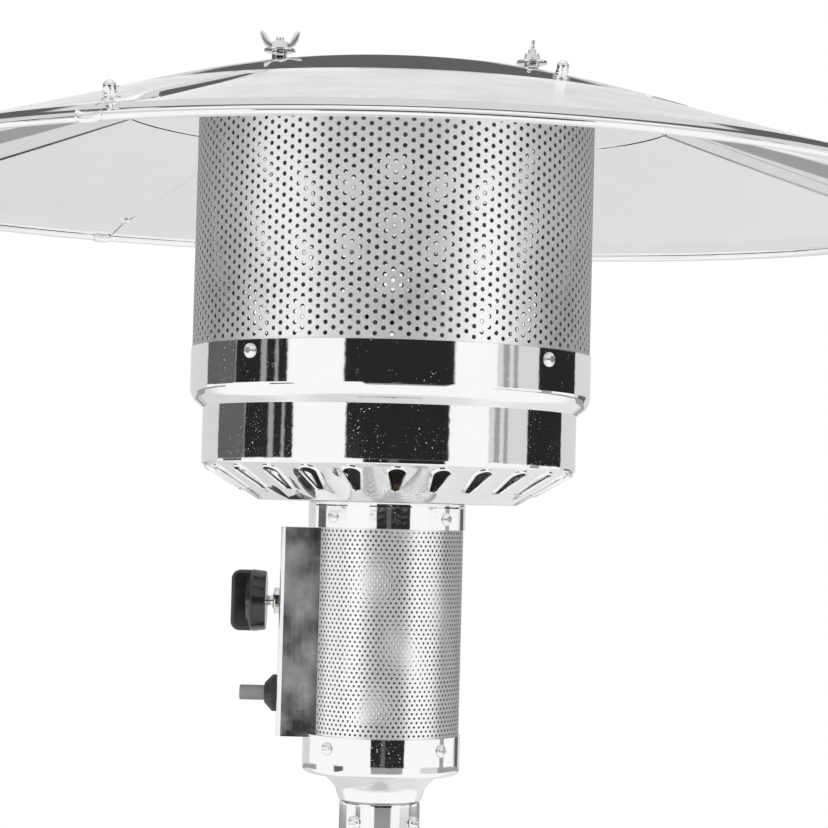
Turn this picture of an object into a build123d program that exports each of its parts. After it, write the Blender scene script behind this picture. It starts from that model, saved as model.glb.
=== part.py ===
from build123d import *
import math
import os

# A free-standing gas patio heater with a wide dish reflector, in millimetres.
# The floor is at height 0, the post stands on the upright axis through the origin,
# the viewer stands on the -Y side and the control panel faces -X.
# A bearing is an angle round the post in degrees, 0 at the front (-Y) and 90 at +X.

# Sheet metal
SHEET = 0.8
HEAVY_SHEET = 1.2

# Reflector: three sector panels with overlapping seams, and a domed dish over their inner edge
CONE_INNER_R = 203.0
CONE_INNER_Z = 2165.6
RIM_CREASE_R = 383.0
RIM_CREASE_Z = 2109.3
RIM_FLANGE_R = 400.0
RIM_FLANGE_Z = 2101.8
BEAD_R = 402.2
BEAD_Z = 2099.2
BEAD_SIZE = 4.6
DISH_R = 235.0
DISH_TOP_Z = 2192.0
DISH_AT_STUD_Z = 2189.6
STUD_FOOT_Z = DISH_AT_STUD_Z + 0.4
WASHER_Z = 2198.3
WASHER_THICK = 1.4
STUD_TOP_Z = 2208.6
SEAM_BEARINGS = (-26.0, 95.0, 217.5)
UNDER_REACH = 17.0
LIP_BACK = 20.0
LIP_REACH = 26.0
SEAM_BOLT_R = 373.0
DISH_BOLT_R = 222.0
DISH_BOLT_BEARINGS = (27.5, 147.5, 267.5)
STUD_R = 102.0
STUD_BEARINGS = (-54.0, 66.0, 186.0)

# Emitter: perforated screen with a cap plate, standing in the upper can
SCREEN_R = 141.4
SCREEN_BOTTOM_Z = 1989.0
SCREEN_TOP_Z = 2168.0
CAN_R = 142.2
CAN_TOP_Z = 1995.0
CAN_MOUTH_Z = 1953.5
LOWER_CAN_R = 132.8
LOWER_CAN_TOP_Z = 1962.0
FOLD_Z = 1913.5
CONE_FOOT_R = 92.0
CONE_FOOT_Z = 1889.0
NECK_R = 40.0
SLOT_COUNT = 26
SLOT_FIRST_BEARING = 2.7
SLOT_WIDE_R = 5.6
SLOT_NARROW_R = 2.6
SLOT_WIDE_AT = 6.6
SLOT_LENGTH = 19.5
SLOT_FLATS = 4
LIP_WIDTH = 1.3
LIP_HEIGHT = 1.4
CAN_SCREW_Z = 1987.5
CAN_SCREW_BEARINGS = (-41.5, 48.5, 138.5, 228.5)

# Burner inside the cans
BURNER_PLATE_Z = 1987.4
BURNER_DRUM_R = 62.0
BURNER_DRUM_TOP_Z = 2032.0
MIXER_R = 22.0
MIXER_FOOT_Z = 1916.0
JET_Z = 1902.0

# Control housing between the cans and the post
COLLAR_R = 55.75
COVER_R = COLLAR_R - HEAVY_SHEET
UPPER_COLLAR_Z = (1870.5, 1889.0)
LOWER_COLLAR_TOP_Z = 1726.0
LOWER_COLLAR_FLOOR_Z = 1698.2
COVER_Z = (1716.0, 1880.0)
COVER_OPEN_HALF = 33.0
COLLAR_SCREW_BEARINGS = (-42.0, 48.0, 138.0)
UPPER_COLLAR_SCREW_Z = 1878.0
LOWER_COLLAR_SCREW_Z = 1717.7

# Control box and controls, whose axes run along X
BOX_FACE_X = -74.0
BOX_BACK_X = -40.0
BOX_HALF_WIDTH = 24.5
BOX_Z = (1724.0, 1870.0)
FRAME_STRIP = (14.0, 1.6)
FRAME_X = BOX_BACK_X + 4.0
KNOB_Z = 1817.4
KNOB_R = 22.0
KNOB_BACK_X = -84.0
KNOB_BASE_DEPTH = 14.0
KNOB_GRIP_DEPTH = 25.0
KNOB_GRIP_WIDTH = 11.0
SPINDLE_R = 3.5
SPINDLE_FIT = 0.05
PANEL_NUT_DEPTH = 4.5
IGNITER_Z = 1752.3
BUTTON_R = 5.3
BUTTON_TIP_X = -101.3
BUTTON_TRAVEL = 5.0
VALVE_X = (-66.0, -26.0)

# Post
POST_R = 28.5
POST_WALL = 1.2
POST_TOP_Z = 1678.5
POST_FOOT_Z = 732.0
POST_SCREW_Z = 1665.0
POST_SCREW_BEARINGS = (-37.0, 55.0, 143.0, 235.0)

# Stand: mounting plate, three legs, lift-up tank cover, base and wheels
PLATE_TOP_Z = 732.0
PLATE_THICK = 4.0
PLATE_R = 82.0
SOCKET_TOP_Z = 780.0
LEG_R = 180.0
LEG_WIDTH = 34.0
LEG_THICK = 4.0
LEG_BEARINGS = (0.0, 120.0, 240.0)
LEG_BEND_Z = 650.0
PAN_R = 230.0
PAN_SHOULDER_R = 212.0
PAN_SHOULDER_Z = 54.0
PAN_TOP_Z = 62.0
PAN_FOOT_Z = 6.0
TANK_COVER_R = 197.0
TANK_COVER_Z = (62.3, 786.0)
CAP_SLOPE_Z = 14.0
CAP_HOLE_R = 30.5
WHEEL_R = 55.0
WHEEL_WIDTH = 26.0
WHEEL_X = 66.0
BRACKET_ARM_X = 50.5
SADDLE_ANGLE = 27.0
AXLE_Y = 286.0
AXLE_Z = 58.0
AXLE_R = 6.0
AXLE_FIT = 0.05

CONE_SLOPE = (CONE_INNER_Z - RIM_CREASE_Z) / (RIM_CREASE_R - CONE_INNER_R)
CONE_TILT = math.degrees(math.atan(CONE_SLOPE))
SHEET_DROP = SHEET / math.cos(math.radians(CONE_TILT))


# Helpers

def turned(outline, angle=360.0):
    """A closed outline in radius and height, turned round the upright axis."""
    return revolve(Plane.XZ * outline, Axis.Z, angle)


def sheet_section(points, thick):
    """The section of a sheet whose outer face follows the points, mitred at each corner.

    The sheet lies to the right of the run of points, or to the left if thick is negative.
    """
    outer = [Vector(*point) for point in points]
    runs = [(after - before).normalized() for before, after in zip(outer, outer[1:])]
    normals = [Vector(run.Y, -run.X) for run in runs]
    inner = []
    for i, point in enumerate(outer):
        before, after = normals[max(i - 1, 0)], normals[min(i, len(normals) - 1)]
        mitre = (before + after).normalized()
        inner.append(point + mitre * (thick / mitre.dot(before)))
    return Polygon(*[(p.X, p.Y) for p in outer + inner[::-1]], align=None)


def tube(outer_r, inner_r, low_z, high_z):
    """A round tube standing on the upright axis."""
    return Pos(0, 0, low_z) * extrude(Circle(outer_r) - Circle(inner_r), high_z - low_z)


def disc(radius, low_z, high_z):
    """A round solid standing on the upright axis."""
    return Pos(0, 0, low_z) * extrude(Circle(radius), high_z - low_z)


def turned_to(bearings, shape):
    """Copies of a shape made at the front, turned to each bearing."""
    return [Rot(0, 0, bearing) * shape for bearing in bearings]


def outward(radius, height):
    """The place at the front whose own Z points away from the post."""
    return Pos(0, -radius, height) * Rot(90, 0, 0)


def on_cone(radius, lift=0.0):
    """The place at the front on the reflector's cone whose own Z is square to the sheet."""
    return Pos(0, -radius, cone_z(radius)) * Rot(CONE_TILT, 0, 0) * Pos(0, 0, lift)


def cone_z(radius):
    """The height of the reflector's upper face on its conical part."""
    return CONE_INNER_Z - CONE_SLOPE * (radius - CONE_INNER_R)


def mitred_pipe(points, radius):
    """A round pipe along straight runs, mitred at each corner."""
    path = Polyline(*points)
    start = Plane(path @ 0, z_dir=path % 0)
    return sweep(start * Circle(radius), path=path, transition=Transition.RIGHT)


def pan_screw(head_r, head_h, shank_r, shank_len):
    """A screw along Z, its head above 0 and its shank below."""
    return extrude(Circle(head_r), head_h) + extrude(Circle(shank_r), -shank_len)


def hex_nut(across_flats, height, bore_r):
    """A plain hexagon nut standing on 0, without its thread."""
    corner_r = across_flats / math.sqrt(3)
    return extrude(RegularPolygon(corner_r, 6) - Circle(bore_r), height)


# Reflector

def reflector_panel(first_seam, last_seam):
    """One sector of the cone with its rim bead, and the raised lip that lies over the next sector."""
    cone = [(CONE_INNER_R, CONE_INNER_Z), (RIM_CREASE_R, RIM_CREASE_Z)]
    bead = Pos(BEAD_R, BEAD_Z) * RegularPolygon(BEAD_SIZE, 8, rotation=22.5)
    ring = turned(sheet_section(cone + [(RIM_FLANGE_R, RIM_FLANGE_Z)], SHEET) + bead)
    # Both ends of a sector are straight edges that run beside its seam line
    start = edge_beside(first_seam, -UNDER_REACH)
    middle = edge_beside(0.5 * (first_seam + last_seam), 0.0)
    end = edge_beside(last_seam, -UNDER_REACH - 1.0)
    sector = ring & over_plan(*start, middle[1], *end[::-1])
    lip_end_r = RIM_CREASE_R - 2.0
    lip_ends = [(radius, cone_z(radius) + SHEET_DROP) for radius in (DISH_R + 1.0, lip_end_r)]
    lip_plan = over_plan(*edge_beside(last_seam, -LIP_BACK), *edge_beside(last_seam, LIP_REACH)[::-1])
    lip = turned(sheet_section(lip_ends, SHEET)) & lip_plan
    return sector + lip - reflector_holes()


def edge_beside(seam, offset):
    """In plan, the near and far end of a long straight edge that runs beside a seam line."""
    ends = [Rot(0, 0, seam) * Pos(offset, -reach, 0) for reach in (150.0, 800.0)]
    return [(end.position.X, end.position.Y) for end in ends]


def over_plan(*corners):
    """The space over an outline in plan, through the whole height of the panels."""
    return Pos(0, 0, RIM_CREASE_Z) * extrude(Polygon(*corners, align=None), 150.0, both=True)


def reflector_holes():
    """Bolt holes through the seams and through the overlap with the centre dish."""
    hole = Pos(0, 0, -6.0) * extrude(Circle(2.6), 12.0)
    return [place * hole for place in bolt_places(0.0)]


def reflector_centre():
    """The domed centre dish, whose flange lies on the inner edge of the panels."""
    crown = [(0, DISH_TOP_Z), (48.0, DISH_TOP_Z), (STUD_R, DISH_AT_STUD_Z)]
    flank = [(140.0, 2183.8), (165.0, 2177.5), (185.0, 2171.3)]
    flange = [(radius, cone_z(radius) + SHEET_DROP) for radius in (CONE_INNER_R - 1.0, DISH_R)]
    dish = turned(sheet_section(crown + flank + flange, SHEET))
    stud_hole = Pos(0, -STUD_R, 2150.0) * extrude(Circle(3.4), 60.0)
    return dish - turned_to(STUD_BEARINGS, stud_hole) - reflector_holes()


def bolt_places(lift):
    """Every bolt's place on the cone, at the seams and round the dish, lifted square to the sheet."""
    seam_places = turned_to(SEAM_BEARINGS, on_cone(SEAM_BOLT_R, lift))
    return seam_places + turned_to(DISH_BOLT_BEARINGS, on_cone(DISH_BOLT_R, lift))


def seam_bolts():
    """Pan bolts from below, three through the seams and three through the dish's flange."""
    bolt = Rot(180, 0, 0) * pan_screw(4.7, 2.6, 2.5, 2.0 * SHEET + 6.0)
    return [place * bolt for place in bolt_places(-SHEET - 0.05)]


def acorn_nuts():
    """Domed nuts with a flange, on the bolts of the reflector."""
    outside = [(5.6, 0), (5.6, 1.6), (4.0, 1.6), (4.0, 8.2), (2.2, 11.6), (0, 11.6)]
    inside = [(0, 8.0), (2.5, 8.0), (2.5, 0)]
    nut = turned(Polygon(*outside, *inside, align=None))
    nut += Pos(0, 0, 1.6) * hex_nut(8.0, 4.0, 3.5)
    return [place * nut for place in bolt_places(SHEET)]


def reflector_studs():
    """Threaded studs that carry the reflector, each with a nut under the cap plate."""
    stud = Pos(0, -STUD_R, 2160.0) * extrude(Circle(3.0), STUD_TOP_Z - 2160.0)
    nut = Pos(0, -STUD_R, SCREEN_TOP_Z - 5.0) * hex_nut(10.0, 5.0, 2.9)
    return turned_to(STUD_BEARINGS, stud + nut)


def stud_spacers():
    """Sleeves between the cap plate and the dish, and the low columns on top of the dish."""
    low = SCREEN_TOP_Z + HEAVY_SHEET
    sleeve = Pos(0, -STUD_R, low) * extrude(Circle(6.0) - Circle(3.05), DISH_AT_STUD_Z - 1.9 - low)
    column = Pos(0, -STUD_R, STUD_FOOT_Z) * hex_nut(9.4, WASHER_Z - STUD_FOOT_Z, 3.05)
    return turned_to(STUD_BEARINGS, sleeve) + turned_to(STUD_BEARINGS, column)


def flange_washers():
    """Wide washers under the wing nuts."""
    washer = extrude(Circle(11.0) - Circle(3.05), WASHER_THICK)
    return turned_to(STUD_BEARINGS, Pos(0, -STUD_R, WASHER_Z) * washer)


def wing_nuts():
    """Wing nuts: a low tapered hub with two curved wings that sweep out and up."""
    hub = turned(Polygon((3.05, 0), (6.0, 0), (4.9, 5.5), (3.05, 5.5), align=None))
    lower = [(3.6, 0.6), (8.0, 1.4), (11.6, 4.6), (13.5, 9.0), (13.8, 12.6)]
    upper = [(12.4, 13.3), (10.0, 11.6), (8.2, 8.4), (6.6, 5.8), (3.6, 5.0)]
    wing = extrude(Plane.XZ * Polygon(*lower, *upper, align=None), 1.2, both=True)
    nut = hub + (wing + Rot(0, 0, 180) * wing - Cylinder(3.05, 40))
    base_z = WASHER_Z + WASHER_THICK
    # Each wing nut stops where it was tightened to, so their wings point in different ways
    nuts = [Pos(0, -STUD_R, base_z) * Rot(0, 0, turn) * nut for turn in (54.0, 24.0, 100.0)]
    return [Rot(0, 0, bearing) * nut for bearing, nut in zip(STUD_BEARINGS, nuts)]


# Emitter and burner

def emitter_top_plate():
    """The cap of the emitter, with a down-turned rim inside the screen."""
    rim_r = SCREEN_R - SHEET
    top = SCREEN_TOP_Z + HEAVY_SHEET
    rim_low = SCREEN_TOP_Z - 9.0
    under = [(0, SCREEN_TOP_Z), (rim_r - SHEET, SCREEN_TOP_Z), (rim_r - SHEET, rim_low), (rim_r, rim_low)]
    edge = [(rim_r, SCREEN_TOP_Z), (SCREEN_R, SCREEN_TOP_Z), (SCREEN_R, top), (0, top)]
    plate = turned(Polygon(*under, *edge, align=None))
    hole = Pos(0, -STUD_R, 2150.0) * extrude(Circle(3.05), 40.0)
    return plate - turned_to(STUD_BEARINGS, hole)


def emitter_screen():
    """The sheet cylinder that glows, standing in the upper can."""
    return tube(SCREEN_R, SCREEN_R - SHEET, SCREEN_BOTTOM_Z, SCREEN_TOP_Z) - can_screw_holes()


def can_screw_holes():
    hole = outward(CAN_R - 8.0, CAN_SCREW_Z) * extrude(Circle(2.1), 12.0)
    return turned_to(CAN_SCREW_BEARINGS, hole)


def upper_can():
    """The polished ring round the foot of the screen, rolled in to the lower can."""
    mouth_r = LOWER_CAN_R + 1.25 * SHEET
    roll = [(CAN_R, CAN_MOUTH_Z + 16.0), (CAN_R - 2.6, CAN_MOUTH_Z + 6.5), (mouth_r, CAN_MOUTH_Z)]
    return turned(sheet_section([(CAN_R, CAN_TOP_Z), *roll], SHEET)) - can_screw_holes()


def can_screws():
    """Pan screws through the upper can into the screen and the burner plate's rim."""
    screw = outward(CAN_R, CAN_SCREW_Z) * pan_screw(4.9, 2.6, 2.0, 6.0)
    return turned_to(CAN_SCREW_BEARINGS, screw)


def slot_outline(grow):
    """A teardrop vent seen square to the cone, its wide end up the slope."""
    wide = (SLOT_WIDE_AT, SLOT_WIDE_R + grow, 90.0)
    narrow = (SLOT_WIDE_AT + SLOT_LENGTH, SLOT_NARROW_R + grow, -90.0)
    points = []
    for centre, radius, start in (wide, narrow):
        # Each round end is drawn with a few flats, which keeps this much repeated cut light
        for step in range(SLOT_FLATS + 1):
            angle = math.radians(start + 180.0 * step / SLOT_FLATS)
            points.append((centre + radius * math.cos(angle), radius * math.sin(angle)))
    return Polygon(*points, align=None)


def lower_can():
    """The lower can: a straight wall folded into a cone with a ring of lipped air slots."""
    wall = [(LOWER_CAN_R, LOWER_CAN_TOP_Z), (LOWER_CAN_R, FOLD_Z)]
    floor = [(CONE_FOOT_R, CONE_FOOT_Z), (NECK_R, CONE_FOOT_Z)]
    pan = turned(sheet_section(wall + floor, SHEET))
    # At the front, X of the slot's plane runs down the slope and Z stands square out of the cone
    slope = Vector(0, LOWER_CAN_R - CONE_FOOT_R, CONE_FOOT_Z - FOLD_Z)
    across = Vector(-1, 0, 0)
    face = Plane(origin=(0, -LOWER_CAN_R, FOLD_Z), x_dir=slope, z_dir=slope.cross(across))
    lip = face * Pos(0, 0, -0.5 * SHEET) * extrude(slot_outline(LIP_WIDTH), LIP_HEIGHT + 0.5 * SHEET)
    bearings = [SLOT_FIRST_BEARING + 360.0 * i / SLOT_COUNT for i in range(SLOT_COUNT)]
    opening = face * Pos(0, 0, -3.0) * extrude(slot_outline(0.0), 6.0)
    pan = pan + turned_to(bearings, lip)
    return pan - turned_to(bearings, opening) - collar_bolt_holes()


def collar_bolt_holes():
    hole = Pos(0, -47.0, CONE_FOOT_Z - 10.0) * extrude(Circle(2.1), 20.0)
    return turned_to((0.0, 90.0, 180.0, 270.0), hole)


def burner_plate():
    """The floor of the flame space, with an upturned rim inside the screen's foot."""
    rim_r = SCREEN_R - SHEET
    low = BURNER_PLATE_Z - 4.0
    wall = [(MIXER_R + HEAVY_SHEET, low), (rim_r, low), (rim_r, BURNER_PLATE_Z + 6.0)]
    return turned(sheet_section(wall, -HEAVY_SHEET)) - can_screw_holes()


def burner_drum():
    """The drum on the burner plate that spreads the flame, closed at the top."""
    floor_z = BURNER_PLATE_Z - 4.0 + HEAVY_SHEET
    wall = [(0, BURNER_DRUM_TOP_Z), (BURNER_DRUM_R, BURNER_DRUM_TOP_Z), (BURNER_DRUM_R, floor_z)]
    drum = turned(sheet_section(wall, SHEET))
    port = Pos(0, -BURNER_DRUM_R, floor_z + 22.0) * Box(4.0, 8.0, 26.0)
    return drum - turned_to([15.0 * i for i in range(24)], port)


def mixer_tube():
    """The venturi that draws air in round the jet and feeds the drum."""
    top_z = BURNER_PLATE_Z + 12.0
    wall = [(MIXER_R + 9.0, MIXER_FOOT_Z), (MIXER_R, MIXER_FOOT_Z + 16.0), (MIXER_R, top_z)]
    mixer = turned(sheet_section(wall, HEAVY_SHEET))
    # Two straps carry the mixer's mouth on the floor of the lower can
    low, high = CONE_FOOT_Z + SHEET, MIXER_FOOT_Z + 3.0
    strap = Pos(0, -(MIXER_R + 10.5), 0.5 * (low + high)) * Box(14.0, 3.0, high - low)
    foot = Pos(0, -(MIXER_R + 15.5), low + 0.75) * Box(14.0, 13.0, 1.5)
    return mixer + turned_to((45.0, 225.0), strap + foot)


def gas_jet():
    """The brass jet under the mixer's mouth."""
    body = Pos(0, 0, JET_Z - 12.0) * extrude(RegularPolygon(8.0, 6), 12.0)
    nozzle = Pos(0, 0, JET_Z) * Cone(5.0, 2.2, 9.0, align=(Align.CENTER, Align.CENTER, Align.MIN))
    return body + nozzle


# Control housing

def upper_collar():
    """The polished ring under the cans, with a flange bolted to their floor."""
    low, high = UPPER_COLLAR_Z
    ring = turned(sheet_section([(COLLAR_R, low), (COLLAR_R, high), (NECK_R, high)], -HEAVY_SHEET))
    return ring - collar_bolt_holes() - collar_screw_holes(UPPER_COLLAR_SCREW_Z)


def collar_screw_holes(height):
    hole = outward(COLLAR_R - 8.0, height) * extrude(Circle(2.05), 12.0)
    return turned_to(COLLAR_SCREW_BEARINGS, hole)


def lower_collar():
    """The spun cup that closes the control housing and flares down to the post."""
    floor_z = LOWER_COLLAR_FLOOR_Z
    wall = [(COLLAR_R, LOWER_COLLAR_TOP_Z), (COLLAR_R, floor_z + 4.5), (COLLAR_R - 4.5, floor_z)]
    flare = [(42.0, floor_z), (POST_R + 3.6, floor_z - 9.5), (POST_R, POST_TOP_Z)]
    cup = turned(sheet_section(wall + flare, HEAVY_SHEET))
    return cup - collar_screw_holes(LOWER_COLLAR_SCREW_Z)


def perforated_cover():
    """The thin cover of the control housing, open where the control box stands."""
    low, high = COVER_Z
    shell = tube(COVER_R, COVER_R - SHEET, low, high)
    reach = 80.0
    half = math.radians(COVER_OPEN_HALF)
    wedge = Polygon((0, 0), (-reach, reach * math.tan(half)), (-reach, -reach * math.tan(half)), align=None)
    shell -= Pos(0, 0, low - 1.0) * extrude(wedge, high - low + 2.0)
    return shell - collar_screw_holes(UPPER_COLLAR_SCREW_Z) - collar_screw_holes(LOWER_COLLAR_SCREW_Z)


def collar_screws():
    """Pan screws through both collars into the cover."""
    screw = pan_screw(4.5, 2.5, 2.0, 6.0)
    upper = turned_to(COLLAR_SCREW_BEARINGS, outward(COLLAR_R, UPPER_COLLAR_SCREW_Z) * screw)
    return upper + turned_to(COLLAR_SCREW_BEARINGS, outward(COLLAR_R, LOWER_COLLAR_SCREW_Z) * screw)


def collar_bolts():
    """Short bolts with nuts that clamp the upper collar to the floor of the cans."""
    floor_top = CONE_FOOT_Z + SHEET
    bolt = Pos(0, -47.0, floor_top) * pan_screw(4.2, 2.4, 2.0, SHEET + HEAVY_SHEET + 5.0)
    nut = Pos(0, -47.0, CONE_FOOT_Z - HEAVY_SHEET - 3.0) * hex_nut(7.0, 3.0, 1.9)
    return turned_to((0.0, 90.0, 180.0, 270.0), bolt + nut)


def control_box():
    """The folded control box: a panel that faces -X with a wall along each side."""
    low, high = BOX_Z
    depth = BOX_BACK_X - BOX_FACE_X
    outline = Rectangle(depth, 2.0 * BOX_HALF_WIDTH)
    inner = Pos(1.0, 0) * Rectangle(depth, 2.0 * BOX_HALF_WIDTH - 2.0)
    channel = Pos(0.5 * (BOX_FACE_X + BOX_BACK_X), 0, low) * extrude(outline - inner, high - low)
    lid_depth = depth - 4.0
    channel += Pos(BOX_FACE_X + 0.5 * lid_depth, 0, high - 0.5) * Box(lid_depth, 2.0 * BOX_HALF_WIDTH, 1.0)
    # The walls reach down in front of the lower collar and are cut back round it
    channel -= disc(COLLAR_R + 0.6, low - 1.0, LOWER_COLLAR_TOP_Z + 0.6)
    spindle_hole = Pos(BOX_FACE_X, 0, KNOB_Z) * Rot(0, 90, 0) * Cylinder(5.3, 8.0)
    igniter_hole = Pos(BOX_FACE_X, 0, IGNITER_Z) * Rot(0, 90, 0) * Cylinder(8.2, 8.0)
    return channel - spindle_hole - igniter_hole


def inner_frame():
    """Two upright strips that tie the collars together and carry the control box."""
    wide, thick = FRAME_STRIP
    low, high = LOWER_COLLAR_FLOOR_Z + HEAVY_SHEET, UPPER_COLLAR_Z[1] - HEAVY_SHEET
    strips = []
    for side in (-1, 1):
        y = side * (BOX_HALF_WIDTH - 1.0 - 0.5 * thick)
        strip = Pos(FRAME_X, y, 0.5 * (low + high)) * Box(wide, thick, high - low)
        tab = Pos(FRAME_X, y - side * 4.0, 0) * Box(wide, 8.0 + thick, thick)
        strips.append(strip + Pos(0, 0, low + 0.5 * thick) * tab + Pos(0, 0, high - 0.5 * thick) * tab)
    bridge = Pos(FRAME_X + 3.0, 0, KNOB_Z - 31.4) * Box(8.0, 2.0 * (BOX_HALF_WIDTH - 1.0), thick)
    return strips[0] + bridge + strips[1]


def along_x(x, height):
    """The place on a control's axis whose own Z points out of the panel."""
    return Pos(x, 0, height) * Rot(0, -90, 0)


def gas_valve():
    """The valve block: a square body with the spindle gland, gas inlet and outlets."""
    low_x, high_x = VALVE_X
    length = high_x - low_x
    body = fillet(Box(length, 30.0, 34.0).edges().filter_by(Axis.X), 4.0)
    valve = Pos(0.5 * (low_x + high_x), 0, KNOB_Z) * body
    gland_len = low_x - BOX_FACE_X + PANEL_NUT_DEPTH + 1.0
    valve += along_x(low_x, KNOB_Z) * extrude(Circle(5.2), gland_len)
    valve -= along_x(low_x + 16.0, KNOB_Z) * extrude(Circle(SPINDLE_R + SPINDLE_FIT), gland_len + 16.1)
    # The cavity behind the gland is where the push-in collar of the spindle moves
    valve -= along_x(low_x + 22.0, KNOB_Z) * extrude(Circle(9.0), 17.0)
    inlet_x = 0.5 * (low_x + high_x)
    valve += Pos(inlet_x, 0, KNOB_Z - 17.0 - 12.0) * extrude(Circle(6.5), 12.0)
    return valve


def thrust_collar():
    """The collar in the valve that slides in when the knob is pushed, and doesn't turn."""
    start = VALVE_X[0] + 11.0
    collar = extrude(Circle(8.9) - Circle(SPINDLE_R + SPINDLE_FIT), 3.0)
    return along_x(start, KNOB_Z) * collar


def valve_spindle():
    """The spindle that turns in the valve and carries the knob."""
    back = VALVE_X[0] + 14.5
    return along_x(back, KNOB_Z) * extrude(Circle(SPINDLE_R), back - KNOB_BACK_X + 12.0)


def knob():
    """The round knob with a raised grip bar, upright when the gas is off."""
    base = chamfer(extrude(Circle(KNOB_R), KNOB_BASE_DEPTH).edges().group_by(Axis.Z)[-1], 2.5)
    bar = SlotOverall(2.0 * KNOB_R - 1.0, KNOB_GRIP_WIDTH)
    bar = chamfer(extrude(bar, KNOB_GRIP_DEPTH).edges().group_by(Axis.Z)[-1], 1.5)
    body = base + bar - extrude(Circle(SPINDLE_R), 12.0)
    return along_x(KNOB_BACK_X, KNOB_Z) * body


def spindle_nut():
    """The pale nut that holds the valve's gland to the panel."""
    return along_x(BOX_FACE_X, KNOB_Z) * hex_nut(16.3, PANEL_NUT_DEPTH, 5.2)


def igniter_body():
    """The piezo igniter's barrel behind the panel, with a bore for its button."""
    depth = 34.0
    barrel = along_x(BOX_FACE_X + 1.0, IGNITER_Z) * Pos(0, 0, -depth) * extrude(Circle(9.0), depth)
    neck = along_x(BOX_FACE_X + 1.0, IGNITER_Z) * extrude(Circle(8.1), 9.0)
    bore = along_x(BOX_FACE_X + 12.0, IGNITER_Z) * extrude(Circle(BUTTON_R + 0.05), 40.0)
    return barrel + neck - bore


def igniter_nut():
    """The black conical nut round the igniter's button."""
    bore = BUTTON_R + 0.2
    outside = [(8.1, 0), (13.0, 0), (13.0, 4.0), (7.0, 9.6)]
    inside = [(bore, 9.6), (bore, 8.2), (8.1, 8.2)]
    return along_x(BOX_FACE_X, IGNITER_Z) * turned(Polygon(*outside, *inside, align=None))


def igniter_button():
    """The grey push button of the igniter."""
    back = BOX_FACE_X + 12.0 - BUTTON_TRAVEL - 1.0
    button = extrude(Circle(BUTTON_R), back - BUTTON_TIP_X)
    button = chamfer(button.edges().group_by(Axis.Z)[-1], 0.8)
    return along_x(back, IGNITER_Z) * button


# Pipes and leads inside the head

def gas_pipe():
    """The aluminium pipe from the valve up to the jet."""
    top = JET_Z - 12.0
    points = [(-34.0, 0.0, KNOB_Z + 17.0), (-34.0, 0.0, 1855.0), (0.0, 0.0, 1871.0), (0.0, 0.0, top)]
    return mitred_pipe(points, 3.0)


def pilot_burner():
    """The pilot's hood and bracket on the burner plate."""
    floor_z = BURNER_PLATE_Z - 4.0 + HEAVY_SHEET
    bracket = Pos(-84.0, 0, floor_z + 0.75) * Box(30.0, 40.0, 1.5)
    hood = Pos(-84.0, 0, floor_z + 1.5) * extrude(Circle(6.0), 20.0)
    return bracket + hood


def sensor_rod(y, radius, tip_z):
    """An upright probe beside the pilot."""
    floor_z = BURNER_PLATE_Z - 4.0 + HEAVY_SHEET + 1.5
    return Pos(-84.0, y, floor_z) * extrude(Circle(radius), tip_z - floor_z)


def thermocouple():
    """The flame sensor's tip beside the pilot."""
    return sensor_rod(13.0, 2.6, BURNER_PLATE_Z + 34.0)


def spark_electrode():
    """The igniter's ceramic electrode beside the pilot, with its wire tip bent to the hood."""
    stem = sensor_rod(-13.0, 3.2, BURNER_PLATE_Z + 16.0)
    top = BURNER_PLATE_Z + 16.0
    upright = Pos(-84.0, -13.0, top + 6.0) * Box(1.6, 1.6, 12.0)
    return stem + upright + Pos(-84.0, -8.8, top + 11.2) * Box(1.6, 10.0, 1.6)


def tilt_switch():
    """The sealed switch on the inner frame that shuts the gas off if the heater falls over."""
    width, depth, height = 14.0, 12.0, 26.0
    centre_y = BOX_HALF_WIDTH - 1.0 - FRAME_STRIP[1] - 0.5 * depth
    case = fillet(Box(width, depth, height).edges().filter_by(Axis.Z), 2.0)
    return Pos(FRAME_X, centre_y, LOWER_COLLAR_FLOOR_Z + 22.0) * case


# Post and stand

def post():
    """The straight post, from the mounting plate to the control housing."""
    hole = outward(POST_R - 8.0, POST_SCREW_Z) * extrude(Circle(2.6), 12.0)
    return tube(POST_R, POST_R - POST_WALL, POST_FOOT_Z, POST_TOP_Z) - turned_to(POST_SCREW_BEARINGS, hole)


def post_spigot():
    """The sleeve of the head that slides into the post and takes its screws."""
    outer = POST_R - POST_WALL
    sleeve = tube(outer, outer - 2.0, 1640.0, 1686.0)
    hole = outward(POST_R - 8.0, POST_SCREW_Z) * extrude(Circle(2.6), 12.0)
    return sleeve - turned_to(POST_SCREW_BEARINGS, hole)


def post_screws():
    """Thick pan screws that clamp the head to the post."""
    screw = outward(POST_R, POST_SCREW_Z) * pan_screw(4.1, 4.0, 2.5, 6.0)
    return turned_to(POST_SCREW_BEARINGS, screw)


def post_mount():
    """The plate on top of the legs, with the socket that holds the foot of the post."""
    plate = disc(PLATE_R, PLATE_TOP_Z - PLATE_THICK, PLATE_TOP_Z)
    socket = tube(POST_R + 2.5, POST_R, PLATE_TOP_Z, SOCKET_TOP_Z)
    hose_hole = Pos(0, 0, PLATE_TOP_Z - PLATE_THICK - 1.0) * extrude(Circle(18.0), PLATE_THICK + 2.0)
    return plate + socket - hose_hole - mount_bolt_holes()


def mount_bolt_holes():
    hole = Pos(0, -66.0, 700.0) * extrude(Circle(4.2), 60.0)
    return turned_to(LEG_BEARINGS, hole)


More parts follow.
